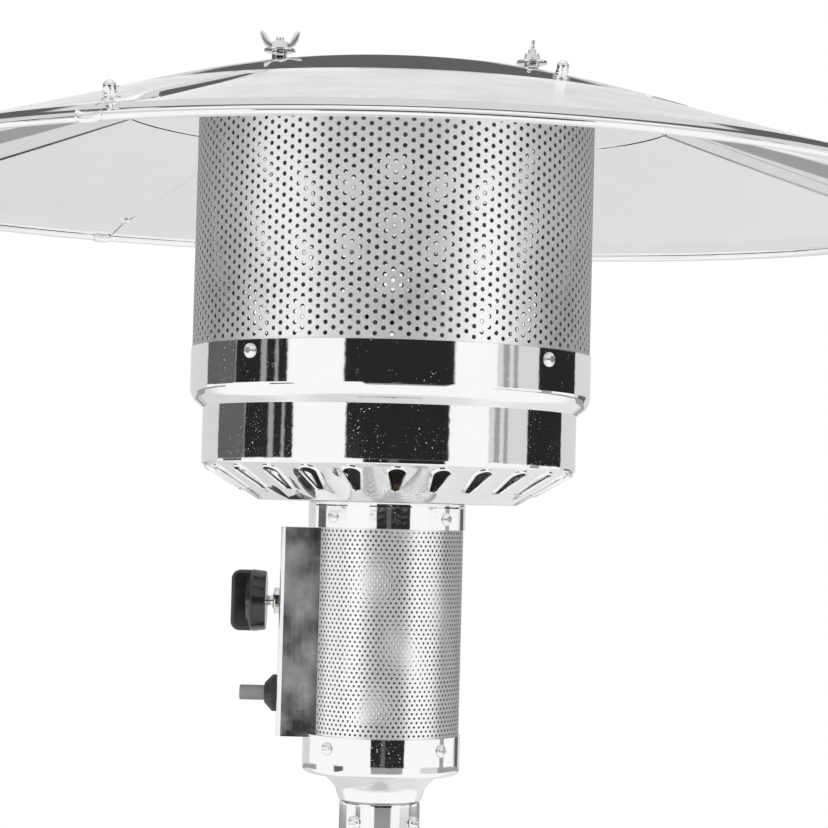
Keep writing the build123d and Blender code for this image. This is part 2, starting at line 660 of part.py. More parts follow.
def mount_bolts():
    """Hexagon bolts through the plate and the legs' upper tabs, with their nuts."""
    under = PLATE_TOP_Z - PLATE_THICK - LEG_THICK
    bolt = extrude(RegularPolygon(7.5, 6), 5.3) + Pos(0, 0, -16.0) * extrude(Circle(4.0), 16.0)
    nut = Pos(0, 0, under - 6.5 - PLATE_TOP_Z) * hex_nut(13.0, 6.5, 3.9)
    return turned_to(LEG_BEARINGS, Pos(0, -66.0, PLATE_TOP_Z) * (bolt + nut))


def support_leg(bearing):
    """One leg: a bent steel strip from its foot on the base to its tab under the mounting plate."""
    under = PLATE_TOP_Z - PLATE_THICK
    floor = PAN_TOP_Z
    path = [(LEG_R - 34.0, floor), (LEG_R, floor), (LEG_R, LEG_BEND_Z), (84.0, under), (50.0, under)]
    strip = extrude(Plane.YZ * sheet_section(path, -LEG_THICK), 0.5 * LEG_WIDTH, both=True)
    # The section is drawn towards +Y, so it is turned to the front first
    strip = Rot(0, 0, 180) * strip
    return Rot(0, 0, bearing) * strip - mount_bolt_holes() - leg_bolt_holes()


def leg_bolts():
    """Hexagon bolts that hold the legs' feet to the base."""
    bolt = extrude(RegularPolygon(7.5, 6), 5.3) + Pos(0, 0, -12.0) * extrude(Circle(4.0), 12.0)
    return turned_to(LEG_BEARINGS, Pos(0, -LEG_R + 22.0, PAN_TOP_Z + LEG_THICK) * bolt)


def leg_bolt_holes():
    hole = Pos(0, -LEG_R + 22.0, PAN_TOP_Z - 16.0) * extrude(Circle(4.2), 30.0)
    return turned_to(LEG_BEARINGS, hole)


def base_pan():
    """The domed sheet pan over the ballast."""
    shoulder = [(PAN_SHOULDER_R - 12.0, PAN_TOP_Z), (PAN_SHOULDER_R, PAN_SHOULDER_Z)]
    wall = [(0, PAN_TOP_Z), *shoulder, (PAN_R, PAN_FOOT_Z)]
    return turned(sheet_section(wall, HEAVY_SHEET)) - leg_bolt_holes()


def ballast():
    """The closed plastic water ballast that fills the pan."""
    top = PAN_TOP_Z - HEAVY_SHEET
    edge = [(206.0, PAN_FOOT_Z), (206.0, top - 8.0), (190.0, top)]
    return turned(Polygon((0, PAN_FOOT_Z), *edge, (0, top), align=None)) - leg_bolt_holes()


def base_feet():
    """Rubber feet under the ballast."""
    foot = Pos(0, -200.0, 0) * extrude(Circle(15.0), PAN_FOOT_Z)
    return turned_to((45.0, 135.0, 225.0, 315.0), foot)


def tank_cover():
    """The tall sheet cylinder that hides the gas cylinder and lifts up the post."""
    low, high = TANK_COVER_Z
    return tube(TANK_COVER_R, TANK_COVER_R - SHEET, low, high)


def tank_cover_cap():
    """The shallow cone that closes the tank cover round the post."""
    top = TANK_COVER_Z[1]
    skirt_r = TANK_COVER_R + SHEET
    neck_r = CAP_HOLE_R + SHEET
    skirt = [(skirt_r, top - 14.0), (skirt_r, top + SHEET)]
    neck = [(neck_r, top + CAP_SLOPE_Z), (neck_r, top + CAP_SLOPE_Z + 10.0)]
    return turned(sheet_section(skirt + neck, -SHEET))


def wheel_bracket():
    """The bracket at the back of the base: a saddle on the pan's side with two arms for the axle."""
    side = Polygon(
        (PAN_R, PAN_FOOT_Z), (PAN_SHOULDER_R, PAN_SHOULDER_Z),
        (PAN_SHOULDER_R + 3.0, PAN_SHOULDER_Z), (PAN_R + 3.0, PAN_FOOT_Z),
        align=None,
    )
    # The saddle starts at bearing 90, so it is turned on to the back
    bracket = Rot(0, 0, 90.0 - 0.5 * SADDLE_ANGLE) * turned(side, SADDLE_ANGLE)
    arm = Polygon(
        (PAN_SHOULDER_R - 6.0, 12.0), (PAN_SHOULDER_R - 6.0, PAN_SHOULDER_Z - 2.0),
        (AXLE_Y - 4.0, AXLE_Z + 11.0), (AXLE_Y + 10.0, AXLE_Z + 4.0), (AXLE_Y + 10.0, AXLE_Z - 8.0),
        align=None,
    )
    for hand in (-1, 1):
        bracket += Pos(hand * BRACKET_ARM_X, 0, 0) * extrude(Plane.YZ * arm, 1.5, both=True)
    pan_body = Polygon(
        (0, PAN_FOOT_Z), (PAN_R, PAN_FOOT_Z), (PAN_SHOULDER_R, PAN_SHOULDER_Z), (0, PAN_SHOULDER_Z),
        align=None,
    )
    bracket -= turned(pan_body)
    return bracket - Pos(0, AXLE_Y, AXLE_Z) * Rot(0, 90, 0) * Cylinder(AXLE_R, 200.0)


def wheel_axle():
    """The fixed axle, with a cap on each end outside the wheels."""
    half = WHEEL_X + 0.5 * WHEEL_WIDTH + 1.0
    axle = Rot(0, 90, 0) * Cylinder(AXLE_R, 2.0 * half)
    for side in (-1, 1):
        axle += Pos(side * (half + 2.0), 0, 0) * Rot(0, 90, 0) * Cylinder(9.0, 4.0)
    return Pos(0, AXLE_Y, AXLE_Z) * axle


def wheel(side):
    """One plastic wheel: a tread, a thinner web with five lightening holes, and a hub."""
    tread = Cylinder(WHEEL_R, WHEEL_WIDTH) - Cylinder(WHEEL_R - 9.0, WHEEL_WIDTH)
    tread = chamfer(tread.edges().filter_by(GeomType.CIRCLE).group_by(SortBy.RADIUS)[-1], 2.5)
    web = Cylinder(WHEEL_R - 9.0, 8.0) + Cylinder(13.0, WHEEL_WIDTH)
    web -= [Rot(0, 0, 72.0 * i) * Pos(29.0, 0, 0) * Box(20.0, 16.0, 9.0) for i in range(5)]
    rim = tread + web - Cylinder(AXLE_R + AXLE_FIT, WHEEL_WIDTH + 2.0)
    return Pos(side * WHEEL_X, AXLE_Y, AXLE_Z) * Rot(0, 90, 0) * rim


# Export

def nodes():
    """Every sub-part by name."""
    made = {}
    seams = (SEAM_BEARINGS[-1] - 360.0, *SEAM_BEARINGS)
    for number in (1, 2, 3):
        made[f"reflector_panel_{number}"] = reflector_panel(seams[number - 1], seams[number])
    for number, bearing in enumerate(LEG_BEARINGS, 1):
        made[f"support_leg_{number}"] = support_leg(bearing)
    made["wheel_left"] = wheel(-1)
    made["wheel_right"] = wheel(1)
    for maker in SINGLE_PARTS:
        made[maker.__name__] = maker()
    return made


SINGLE_PARTS = (
    reflector_centre, seam_bolts, acorn_nuts, reflector_studs, stud_spacers, flange_washers,
    wing_nuts, emitter_top_plate, emitter_screen, upper_can, lower_can, can_screws, burner_plate,
    burner_drum, mixer_tube, gas_jet, gas_pipe, pilot_burner, thermocouple, spark_electrode,
    upper_collar, lower_collar, perforated_cover, collar_screws, collar_bolts, control_box,
    inner_frame, gas_valve, thrust_collar, valve_spindle, knob, spindle_nut, igniter_body,
    igniter_nut, igniter_button, tilt_switch, post, post_spigot, post_screws, post_mount,
    mount_bolts, leg_bolts, base_pan, ballast, base_feet, tank_cover, tank_cover_cap,
    wheel_bracket, wheel_axle,
)


def as_part(made):
    """One shape from a list of separate solids, or the shape itself."""
    if isinstance(made, list):
        return Compound(children=[solid for piece in made for solid in piece.solids()])
    return made


os.makedirs("parts", exist_ok=True)
for name, made in nodes().items():
    part = as_part(made)
    export_step(part, f"parts/{name}.step")
    print(name, len(part.solids()), "solids")
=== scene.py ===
import math
import bpy
import bmesh
from mathutils import Matrix, Vector


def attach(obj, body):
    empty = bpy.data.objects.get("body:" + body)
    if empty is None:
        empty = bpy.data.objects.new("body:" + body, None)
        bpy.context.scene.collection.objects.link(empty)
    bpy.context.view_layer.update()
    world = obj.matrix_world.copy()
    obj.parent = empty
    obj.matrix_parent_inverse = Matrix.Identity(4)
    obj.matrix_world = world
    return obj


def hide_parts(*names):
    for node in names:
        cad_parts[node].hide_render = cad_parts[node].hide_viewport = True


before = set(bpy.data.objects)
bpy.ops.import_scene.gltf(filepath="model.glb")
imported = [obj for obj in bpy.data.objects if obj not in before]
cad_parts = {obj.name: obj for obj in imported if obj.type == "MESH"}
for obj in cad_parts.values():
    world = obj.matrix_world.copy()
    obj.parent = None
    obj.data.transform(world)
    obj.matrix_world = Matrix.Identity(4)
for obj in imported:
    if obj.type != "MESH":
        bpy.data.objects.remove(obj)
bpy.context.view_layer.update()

# The camera stands where the photograph was taken from, level with the foot of the cans
FOCAL = 2323.0 / 828.0 * 36.0
CAMERA_PLACE = Vector((0.0, -1.655, 1.880))
CAMERA_YAW = math.radians(0.60)
CAMERA_PITCH = math.radians(2.51)
CAMERA_ROLL = math.radians(1.46)


def make_camera():
    data = bpy.data.cameras.new("camera")
    data.lens = FOCAL
    data.sensor_width = 36.0
    data.clip_start = 0.05
    data.clip_end = 100.0
    camera = bpy.data.objects.new("camera", data)
    bpy.context.scene.collection.objects.link(camera)
    level = math.cos(CAMERA_PITCH)
    ahead = Vector((math.sin(CAMERA_YAW) * level, math.cos(CAMERA_YAW) * level, math.sin(CAMERA_PITCH)))
    right = ahead.cross(Vector((0, 0, 1))).normalized()
    up = right.cross(ahead)
    turn = Matrix.Rotation(CAMERA_ROLL, 3, -ahead)
    right, up = turn @ right, turn @ up
    camera.matrix_world = Matrix.Translation(CAMERA_PLACE) @ Matrix((right, up, -ahead)).transposed().to_4x4()
    bpy.context.scene.camera = camera


make_camera()
bpy.context.scene.view_settings.view_transform = "Standard"


# Materials

class Nodes:
    """A short way to write a node tree."""

    def __init__(self, tree):
        self.tree = tree
        tree.nodes.clear()

    def add(self, kind, inputs=None, **settings):
        node = self.tree.nodes.new(kind)
        for key, value in settings.items():
            setattr(node, key, value)
        for key, value in (inputs or {}).items():
            if isinstance(value, bpy.types.NodeSocket):
                self.tree.links.new(value, node.inputs[key])
            else:
                node.inputs[key].default_value = value
        return node

    def math(self, operation, a, b=0.0):
        return self.add("ShaderNodeMath", {0: a, 1: b}, operation=operation).outputs[0]

    def ramp(self, value, low, high, to_low, to_high, smooth=False):
        kind = "SMOOTHSTEP" if smooth else "LINEAR"
        inputs = {0: value, 1: low, 2: high, 3: to_low, 4: to_high}
        return self.add("ShaderNodeMapRange", inputs, interpolation_type=kind).outputs[0]

    def noise(self, vector, scale, detail=3.0, roughness=0.5):
        inputs = {"Vector": vector, "Scale": scale, "Detail": detail, "Roughness": roughness}
        return self.add("ShaderNodeTexNoise", inputs).outputs[0]


def stretched(n, grain):
    """The place on the surface, drawn out along the way it was brushed."""
    place = n.add("ShaderNodeTexCoord").outputs["Object"]
    if grain == "round":
        # Round the post: the direction from the axis changes slowly, the height and the radius fast
        level = n.add("ShaderNodeVectorMath", {0: place, 1: (1.0, 1.0, 0.0)}, operation="MULTIPLY").outputs[0]
        length = n.add("ShaderNodeVectorMath", {0: level}, operation="LENGTH").outputs["Value"]
        facing = n.add("ShaderNodeVectorMath", {0: level}, operation="NORMALIZE").outputs[0]
        squeeze = (0.012, 0.012, 0.0)
        slow = n.add("ShaderNodeVectorMath", {0: facing, 1: squeeze}, operation="MULTIPLY").outputs[0]
        parts = n.add("ShaderNodeSeparateXYZ", {0: place})
        fine = n.add("ShaderNodeCombineXYZ", {0: length, 2: parts.outputs[2]}).outputs[0]
        return n.add("ShaderNodeVectorMath", {0: slow, 1: fine}, operation="ADD").outputs[0]
    scales = {"upright": (1.0, 1.0, 0.02), "even": (1.0, 1.0, 1.0)}
    return n.add("ShaderNodeVectorMath", {0: place, 1: scales[grain]}, operation="MULTIPLY").outputs[0]


def bearing_of(n, place):
    """The bearing of a place in degrees: 0 at the front, positive to +X."""
    parts = n.add("ShaderNodeSeparateXYZ", {0: place})
    turn = n.math("ARCTAN2", parts.outputs[0], n.math("MULTIPLY", parts.outputs[1], -1.0))
    return n.math("MULTIPLY", turn, 180.0 / math.pi)


def between(n, value, low, high, soft):
    """1 between two limits and 0 outside, with soft edges."""
    rise = n.ramp(value, low - soft, low + soft, 0.0, 1.0, smooth=True)
    fall = n.ramp(value, high - soft, high + soft, 1.0, 0.0, smooth=True)
    return n.math("MULTIPLY", rise, fall)


def mixed(n, share, first, second):
    return n.add("ShaderNodeMix", {0: share, 2: first, 3: second}, data_type="FLOAT").outputs[0]


def painted_sheen_tone(n, place, front, side, peak, painted_streaks):
    """Painted highlights and shade on a satin sheet rolled to a cylinder: its colour is darker at the sides
    as painted shade, with soft bright upright bands as painted highlights.
    """
    bearing = bearing_of(n, place)
    # Painted shade: the colour falls from the front tone to the side tone away from the front
    tone = n.ramp(n.math("ABSOLUTE", bearing), 30.0, 65.0, front, side, smooth=True)
    # Painted highlights: each band mixes the colour up to the peak tone
    for low, high in painted_streaks:
        tone = mixed(n, between(n, bearing, low, high, 8.0), tone, peak)
    return tone


def metal(name, colour, rough, grain="even", scratch=0.06, dent=0.0, haze=0.06, film=0.0, specks=0.0,
          ripple=0.0, painted_streaks=None, mottle=0.04):
    """Bare or plated metal: brushed grain, wiped patches, shallow dents and ripples, pale film or specks of
    dust, and painted highlights and painted shade in upright bands round the post."""
    material = bpy.data.materials.new(name)
    material.use_nodes = True
    n = Nodes(material.node_tree)
    place = n.add("ShaderNodeTexCoord").outputs["Object"]
    lines = n.noise(stretched(n, grain), 1400.0, 4.0, 0.65)
    patches = n.noise(place, 26.0, 4.0, 0.6)
    brushed = n.ramp(lines, 0.3, 0.7, 1.0 - scratch, 1.0 + scratch)
    shade = n.math("ADD", brushed, n.ramp(patches, 0.35, 0.65, -haze, haze))
    chalk_and_painted_sheen = (0.95, 0.95, 0.955, 1.0) if painted_streaks else (0.87, 0.87, 0.875, 1.0)
    # Painted highlights and shade: on the screen and cover, the metal's colour and the film's chalk colour
    # are multiplied by the painted sheen tone
    if painted_streaks:
        tone = painted_sheen_tone(n, place, *painted_streaks)
        shade = n.math("MULTIPLY", shade, tone)
        dark = {6: (0.0, 0.0, 0.0, 1.0), 7: chalk_and_painted_sheen, 0: tone}
        chalk_and_painted_sheen = n.add("ShaderNodeMix", dark, data_type="RGBA").outputs[2]
    tint = {6: (0.0, 0.0, 0.0, 1.0), 7: (*colour, 1.0), 0: shade}
    base = n.add("ShaderNodeMix", tint, data_type="RGBA", clamp_factor=False)
    wiped = n.ramp(patches, 0.3, 0.75, rough * 0.8, rough * 1.35)
    roughness = n.math("ADD", wiped, n.ramp(lines, 0.3, 0.7, 0.0, rough * 0.5))
    height = n.ramp(lines, 0.2, 0.8, 0.0, 1.0)
    relief = {"Strength": scratch * 1.5, "Distance": 0.00004, "Height": height}
    bump = n.add("ShaderNodeBump", relief).outputs[0]
    for scale, depth in ((9.0, dent), (240.0, ripple)):
        if depth:
            low = n.noise(place, scale, 1.0, 0.4)
            relief = {"Strength": 1.0, "Distance": depth, "Height": low, "Normal": bump}
            bump = n.add("ShaderNodeBump", relief).outputs[0]
    inputs = {"Base Color": base.outputs[2], "Metallic": 1.0, "Roughness": roughness, "Normal": bump}
    shader = n.add("ShaderNodeBsdfPrincipled", inputs)
    if film or specks:
        chalk = n.add("ShaderNodeBsdfDiffuse", {"Color": chalk_and_painted_sheen, "Roughness": 0.4, "Normal": bump})
        if film:
            cloudy = n.ramp(patches, 0.35, 0.65, film - mottle, film + mottle)
            share = n.math("ADD", cloudy, n.ramp(lines, 0.3, 0.7, -0.03, 0.03))
        else:
            dots = n.ramp(n.noise(place, 1000.0, 1.0, 0.3), 0.725, 0.75, 0.0, 1.0)
            dusty = n.ramp(n.noise(place, 40.0, 2.0, 0.6), 0.42, 0.6, 0.0, specks)
            share = n.math("MULTIPLY", dots, dusty)
        shader = n.add("ShaderNodeMixShader", {0: share, 1: shader.outputs[0], 2: chalk.outputs[0]})
    n.add("ShaderNodeOutputMaterial", {0: shader.outputs[0]})
    return material


def plastic(name, colour, rough, grain_scale=900.0, grain_depth=0.00004, wear=0.03, coat=0.0):
    """Moulded plastic, rubber or glaze: a fine skin, scuffs, and slightly paler worn patches."""
    material = bpy.data.materials.new(name)
    material.use_nodes = True
    n = Nodes(material.node_tree)
    place = n.add("ShaderNodeTexCoord").outputs["Object"]
    skin = n.noise(place, grain_scale, 3.0, 0.6)
    scuffs = n.noise(place, 70.0, 5.0, 0.7)
    worn = n.ramp(scuffs, 0.5, 0.75, 0.0, 1.0, smooth=True)
    pale = tuple(c + (1.0 - c) * wear for c in colour)
    base = n.add("ShaderNodeMix", {6: (*colour, 1.0), 7: (*pale, 1.0), 0: worn}, data_type="RGBA")
    roughness = n.ramp(scuffs, 0.3, 0.75, rough * 0.85, min(1.0, rough * 1.5 + 0.03))
    bump = n.add("ShaderNodeBump", {"Strength": 0.5, "Distance": grain_depth, "Height": skin}).outputs[0]
    inputs = {"Base Color": base.outputs[2], "Roughness": roughness, "Normal": bump}
    if coat:
        inputs["Coat Weight"] = coat
    shader = n.add("ShaderNodeBsdfPrincipled", inputs)
    n.add("ShaderNodeOutputMaterial", {0: shader.outputs[0]})
    return material


WHITE_METAL = (0.935, 0.935, 0.94)
POLISHED = metal("polished_steel", WHITE_METAL, 0.035, "round", 0.012, 0.00015, 0.015,
                 specks=1.0, ripple=0.00002)
POLISHED_BOX = metal("polished_box_steel", (0.86, 0.86, 0.87), 0.07, "upright", 0.02, 0.0004, 0.02,
                     film=0.14, mottle=0.14)
REFLECTOR = metal("reflector_sheet", (0.93, 0.93, 0.935), 0.02, "round", 0.01, 0.00008, 0.01)
REFLECTOR_TOP = metal("reflector_satin_sheet", (0.90, 0.90, 0.905), 0.16, "round", 0.03, 0.0001, 0.02,
                      film=0.70)
# Painted highlights and painted shade: tone in front, painted shade at the sides, painted highlight of the
# bands, and each band's first and last bearing
SCREEN_PAINTED_SHEEN = (0.70, 0.45, 1.0, ((-42, -22), (18, 35)))
COVER_PAINTED_SHEEN = (0.60, 0.45, 0.90, ((-50, -15), (18, 42)))
SCREEN = metal("emitter_steel", (0.98, 0.98, 0.98), 0.30, "upright", 0.03, 0.0001, 0.03,
               film=0.52, painted_streaks=SCREEN_PAINTED_SHEEN)
COVER = metal("perforated_steel", (0.98, 0.98, 0.985), 0.24, "upright", 0.04, 0.0001, 0.03,
              film=0.56, painted_streaks=COVER_PAINTED_SHEEN)
# A darker, rougher steel for the perforated sheets' faces that don't face outward: their inner faces and hole
# walls
DARKER_INSIDE = metal("darker_inside_steel", (0.55, 0.55, 0.55), 0.45, "upright", 0.05, 0.0, 0.03)
SCREW = metal("screw_plating", (0.88, 0.88, 0.885), 0.10, "even", 0.03, 0.0, 0.04, film=0.22)
TUBE = metal("post_steel", (0.92, 0.92, 0.925), 0.05, "upright", 0.04, 0.0001, 0.02)
BRUSHED = metal("brushed_steel", (0.70, 0.705, 0.715), 0.30, "round", 0.07, 0.0001, 0.03)
PLATED = metal("fastener_plating", (0.93, 0.93, 0.935), 0.06, "even", 0.03, 0.0, 0.04)
ZINC = metal("zinc_plate", (0.62, 0.63, 0.64), 0.30, "even", 0.06, 0.0, 0.10)
BURNT = metal("heat_stained_steel", (0.50, 0.47, 0.43), 0.36, "round", 0.08, 0.0, 0.14)
BRASS = metal("turned_brass", (0.72, 0.56, 0.27), 0.22, "even", 0.06, 0.0, 0.08)
ALUMINIUM = metal("drawn_aluminium", (0.74, 0.74, 0.75), 0.25, "even", 0.06, 0.0, 0.05)
GLOSS_BLACK = plastic("knob_plastic", (0.012, 0.012, 0.013), 0.16, 500.0, 0.00002, 0.015, coat=0.4)
SATIN_BLACK = plastic("black_plastic", (0.022, 0.022, 0.023), 0.38, 900.0, 0.00005, 0.03)
GREY_PLASTIC = plastic("button_plastic", (0.20, 0.20, 0.205), 0.42, 900.0, 0.00004, 0.05)
RUBBER = plastic("foot_rubber", (0.030, 0.030, 0.031), 0.75, 1200.0, 0.00008, 0.04)
MOULDED = plastic("ballast_plastic", (0.035, 0.036, 0.038), 0.5, 600.0, 0.00010, 0.03)
CERAMIC = plastic("glazed_ceramic", (0.82, 0.79, 0.74), 0.2, 300.0, 0.00002, 0.1, coat=0.5)


# Shapes, in millimetres. A shape is its points and its faces.

TURN_STEPS = 240


def at_bearing(radius, bearing, height):
    """A point by its radius, its bearing in radians (0 at the front, positive to +X) and its height."""
    return Vector((radius * math.sin(bearing), -radius * math.cos(bearing), height))


def rounded(run, radii, steps=5):
    """An open run of points whose inner corners are rounded, by one radius or by one for each corner."""
    points = [Vector(p) for p in run]
    if not isinstance(radii, (list, tuple)):
        radii = [radii] * (len(points) - 2)
    out = [points[0]]
    for before, corner, after, radius in zip(points, points[1:], points[2:], radii):
        into, away = (corner - before).normalized(), (after - corner).normalized()
        turn = into.angle(away)
        if radius <= 0 or turn < 1e-4:
            out.append(corner)
            continue
        room = 0.49 * min((corner - before).length, (after - corner).length)
        reach = min(radius * math.tan(turn / 2), room)
        radius = reach / math.tan(turn / 2)
        centre = corner + (away - into).normalized() * (radius / math.cos(turn / 2))
        start = corner - into * reach - centre
        side = 1 if into.x * away.y - into.y * away.x > 0 else -1
        for i in range(steps + 1):
            out.append(centre + Matrix.Rotation(side * turn * i / steps, 2) @ start)
    return out + [points[-1]]


def sheet(run, thick):
    """The closed section of a sheet whose outer face follows the run, the sheet to the right of it."""
    run = [Vector(p) for p in run]
    ways = [(b - a).normalized() for a, b in zip(run, run[1:])]
    normals = [Vector((w.y, -w.x)) for w in ways]
    inner = []
    for i, point in enumerate(run):
        before, after = normals[max(i - 1, 0)], normals[min(i, len(normals) - 1)]
        mitre = (before + after).normalized()
        inner.append(point + mitre * (thick / mitre.dot(before)))
    return run + inner[::-1]


def lathe(outline, steps=TURN_STEPS, start=0.0, sweep=360.0):
    """A closed outline of radius and height, turned round the upright axis."""
    full = sweep >= 360.0
    columns = steps if full else steps + 1
    verts, faces, count = [], [], len(outline)
    for c in range(columns):
        bearing = math.radians(start + sweep * c / steps)
        verts += [at_bearing(p[0], bearing, p[1]) for p in outline]
    for c in range(steps):
        here, there = c * count, ((c + 1) % columns) * count
        for i in range(count):
            j = (i + 1) % count
            faces.append((here + i, there + i, there + j, here + j))
    if not full:
        faces.append(tuple(range(count)))
        faces.append(tuple(steps * count + i for i in reversed(range(count))))
    return verts, faces


def extruded(outline, low, high):
    """A closed outline in X and Y, drawn up from low to high."""
    count = len(outline)
    verts = [Vector((p[0], p[1], z)) for z in (low, high) for p in outline]
    faces = [(i, (i + 1) % count, count + (i + 1) % count, count + i) for i in range(count)]
    return verts, faces + [tuple(reversed(range(count))), tuple(range(count, 2 * count))]


def block(size, centre=(0, 0, 0)):
    x, y, z = (s / 2 for s in size)
    outline = [(-x, -y), (x, -y), (x, y), (-x, y)]
    return placed(extruded(outline, -z, z), Matrix.Translation(centre))


def placed(shape, matrix):
    return [matrix @ v for v in shape[0]], shape[1]


def joined(*shapes):
    verts, faces = [], []
    for shape in shapes:
        base = len(verts)
        verts += shape[0]
        faces += [tuple(base + i for i in face) for face in shape[1]]
    return verts, faces


def turned(shape, *bearings):
    """Copies of a shape made at the front, turned to each bearing in degrees."""
    return joined(*(placed(shape, Matrix.Rotation(math.radians(b), 4, "Z")) for b in bearings))


def shift(x=0.0, y=0.0, z=0.0):
    return Matrix.Translation((x, y, z))


def spin(degrees, axis):
    return Matrix.Rotation(math.radians(degrees), 4, axis)


def outward(radius, height):
    """The place at the front whose own Z points away from the post."""
    return shift(0, -radius, height) @ spin(90, "X")


def along_x(x, height):
    """The place on a control's axis whose own Z points out of the panel."""
    return shift(x, 0, height) @ spin(-90, "Y")


def plain_mesh(shape, scale=1.0):
    mesh = bpy.data.meshes.new("shape")
    mesh.from_pydata([v * scale for v in shape[0]], [], shape[1])
    work = bmesh.new()
    work.from_mesh(mesh)
    bmesh.ops.remove_doubles(work, verts=work.verts, dist=1e-4 * scale)
    bmesh.ops.dissolve_degenerate(work, edges=work.edges, dist=1e-5 * scale)
    bmesh.ops.recalc_face_normals(work, faces=work.faces)
    work.to_mesh(mesh)
    work.free()
    return mesh


def worked(shape, bevel=0.0, segments=3, cut=None, angle=35.0):
    """A shape with its edges rounded by a bevel, after another shape is cut from it."""
    thing = bpy.data.objects.new("work", plain_mesh(shape))
    bpy.context.scene.collection.objects.link(thing)
    knife = None
    if cut is not None:
        knife = bpy.data.objects.new("knife", plain_mesh(cut))
        bpy.context.scene.collection.objects.link(knife)
        step = thing.modifiers.new("cut", "BOOLEAN")
        step.operation, step.solver, step.object = "DIFFERENCE", "EXACT", knife
    if bevel:
        step = thing.modifiers.new("round", "BEVEL")
        step.width, step.segments, step.limit_method = bevel, segments, "ANGLE"
        step.angle_limit = math.radians(angle)
    result = bpy.data.meshes.new_from_object(thing.evaluated_get(bpy.context.evaluated_depsgraph_get()))
    shape = [v.co.copy() for v in result.vertices], [tuple(p.vertices) for p in result.polygons]
    bpy.data.objects.remove(thing)
    if knife:
        bpy.data.objects.remove(knife)
    return shape


def piece(name, shape, slot, material, *replaced, body="stand", sharp=32.0, upper=None):
    """A finished piece in metres, smooth but for its sharp corners, that rides on a body for CAD nodes."""
    mesh = plain_mesh(shape, 0.001)
    mesh.name = name
    mesh.materials.append(material)
    if upper:
        mesh.materials.append(upper[0])
    for polygon in mesh.polygons:
        polygon.use_smooth = True
        if upper and upper[1](polygon):
            polygon.material_index = 1
    mesh.set_sharp_from_angle(angle=math.radians(sharp))
    thing = bpy.data.objects.new(name, mesh)
    bpy.context.scene.collection.objects.link(thing)
    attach(thing, body)
    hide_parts(*(replaced or (name,)))
    return thing


# Reflector

SHEET = 0.8
INNER_R, INNER_Z, CREASE_R, CREASE_Z = 203.0, 2165.6, 383.0, 2109.3
CONE_SLOPE = (INNER_Z - CREASE_Z) / (CREASE_R - INNER_R)
CONE_TILT = math.degrees(math.atan(CONE_SLOPE))
SHEET_DROP = SHEET / math.cos(math.radians(CONE_TILT))
BEAD = Vector((402.0, 2098.2))
SEAMS = (-26.0, 95.0, 217.5)
DISH_R = 235.0
DISH_BOLTS = (27.5, 147.5, 267.5)
STUDS = (-54.0, 66.0, 186.0)
STUD_R = 102.0
STUD_FOOT, WASHER_Z = 2190.0, 2198.3
SEAM_BOLT_R, DISH_BOLT_R = 373.0, 222.0
# How the photographed reflector sits, in mm at 400 mm from the post: up at the back, down at +X, a twist,
# and a bend that lifts the front and the back
TILT_BACK, TILT_SIDE, TWIST, BEND = 6.53, -1.81, -1.78, 7.13
# The lip over a seam: how far it reaches to each side of it, how much of that its outer end loses, and from
# which radius to which
LIP_BACK, LIP_REACH, LIP_LOSS = 20.0, 26.0, 9.0
LIP_START, LIP_TURN, LIP_END = 240.0, 361.2, 381.2


def cone_z(radius):
    return INNER_Z - CONE_SLOPE * (radius - INNER_R)


def on_cone(radius, lift=0.0):
    """The place at the front on the cone whose own Z is square to the sheet."""
    return shift(0, -radius, cone_z(radius)) @ spin(CONE_TILT, "X") @ shift(0, 0, lift)


def settled(shape):
    """A part of the reflector as it sits in the photograph: tilted a little, its far side bent up."""
    verts = []
    for v in shape[0]:
        x, y = v.x / 400.0, v.y / 400.0
        rise = TILT_BACK * y + TILT_SIDE * x + TWIST * x * y + BEND * y * y
        verts.append(Vector((v.x, v.y, v.z + rise)))
    return verts, shape[1]


def beside(seam, offset, radius):
    """The bearing, in radians, of the point at a radius on a straight line beside a seam."""
    return math.radians(seam) + math.asin(offset / radius)


def fan(outline, start, end, steps, lift=None):
    """A closed outline drawn round between two edges, each a bearing that varies with the radius."""
    verts, faces, count = [], [], len(outline)
    for c in range(steps + 1):
        t = c / steps
        for r, z in outline:
            verts.append(at_bearing(r, start(r) * (1 - t) + end(r) * t, z + (lift(r, t) if lift else 0.0)))
    for c in range(steps):
        for i in range(count):
            j = (i + 1) % count
            faces.append((c * count + i, (c + 1) * count + i, (c + 1) * count + j, c * count + j))
    faces.append(tuple(range(count)))
    faces.append(tuple(steps * count + i for i in reversed(range(count))))
    return verts, faces


def panel_outline():
    """The section of a reflector panel: cone, crease, flange and rolled bead in one run of sheet."""
    radii = [INNER_R + (CREASE_R - INNER_R) * i / 9 for i in range(9)]
    slope_run = [(r, cone_z(r)) for r in radii]
    top = rounded(slope_run + [(CREASE_R, CREASE_Z), (392.0, 2104.9), (400.0, 2100.8)], [0] * 8 + [2.5, 0], 4)
    angles = [math.radians(118 - 290 * i / 26) for i in range(27)]
    bead = [BEAD + Vector((math.cos(a), math.sin(a))) * 2.9 for a in angles]
    low_run = [(r, z - SHEET_DROP) for r, z in slope_run]
    under_run = [(399.4, 2100.3), (391.6, 2104.1), (382.8, 2108.46)] + low_run[::-1]
    under = rounded(under_run, [0, 2.5] + [0] * 8, 4)
    return top + bead + under


def run_out(r):
    """From 0 to 1 over the lip's outer end, which runs out towards the rim bolt."""
    return min(1.0, max(0.0, (r - LIP_TURN) / (LIP_END - LIP_TURN)))


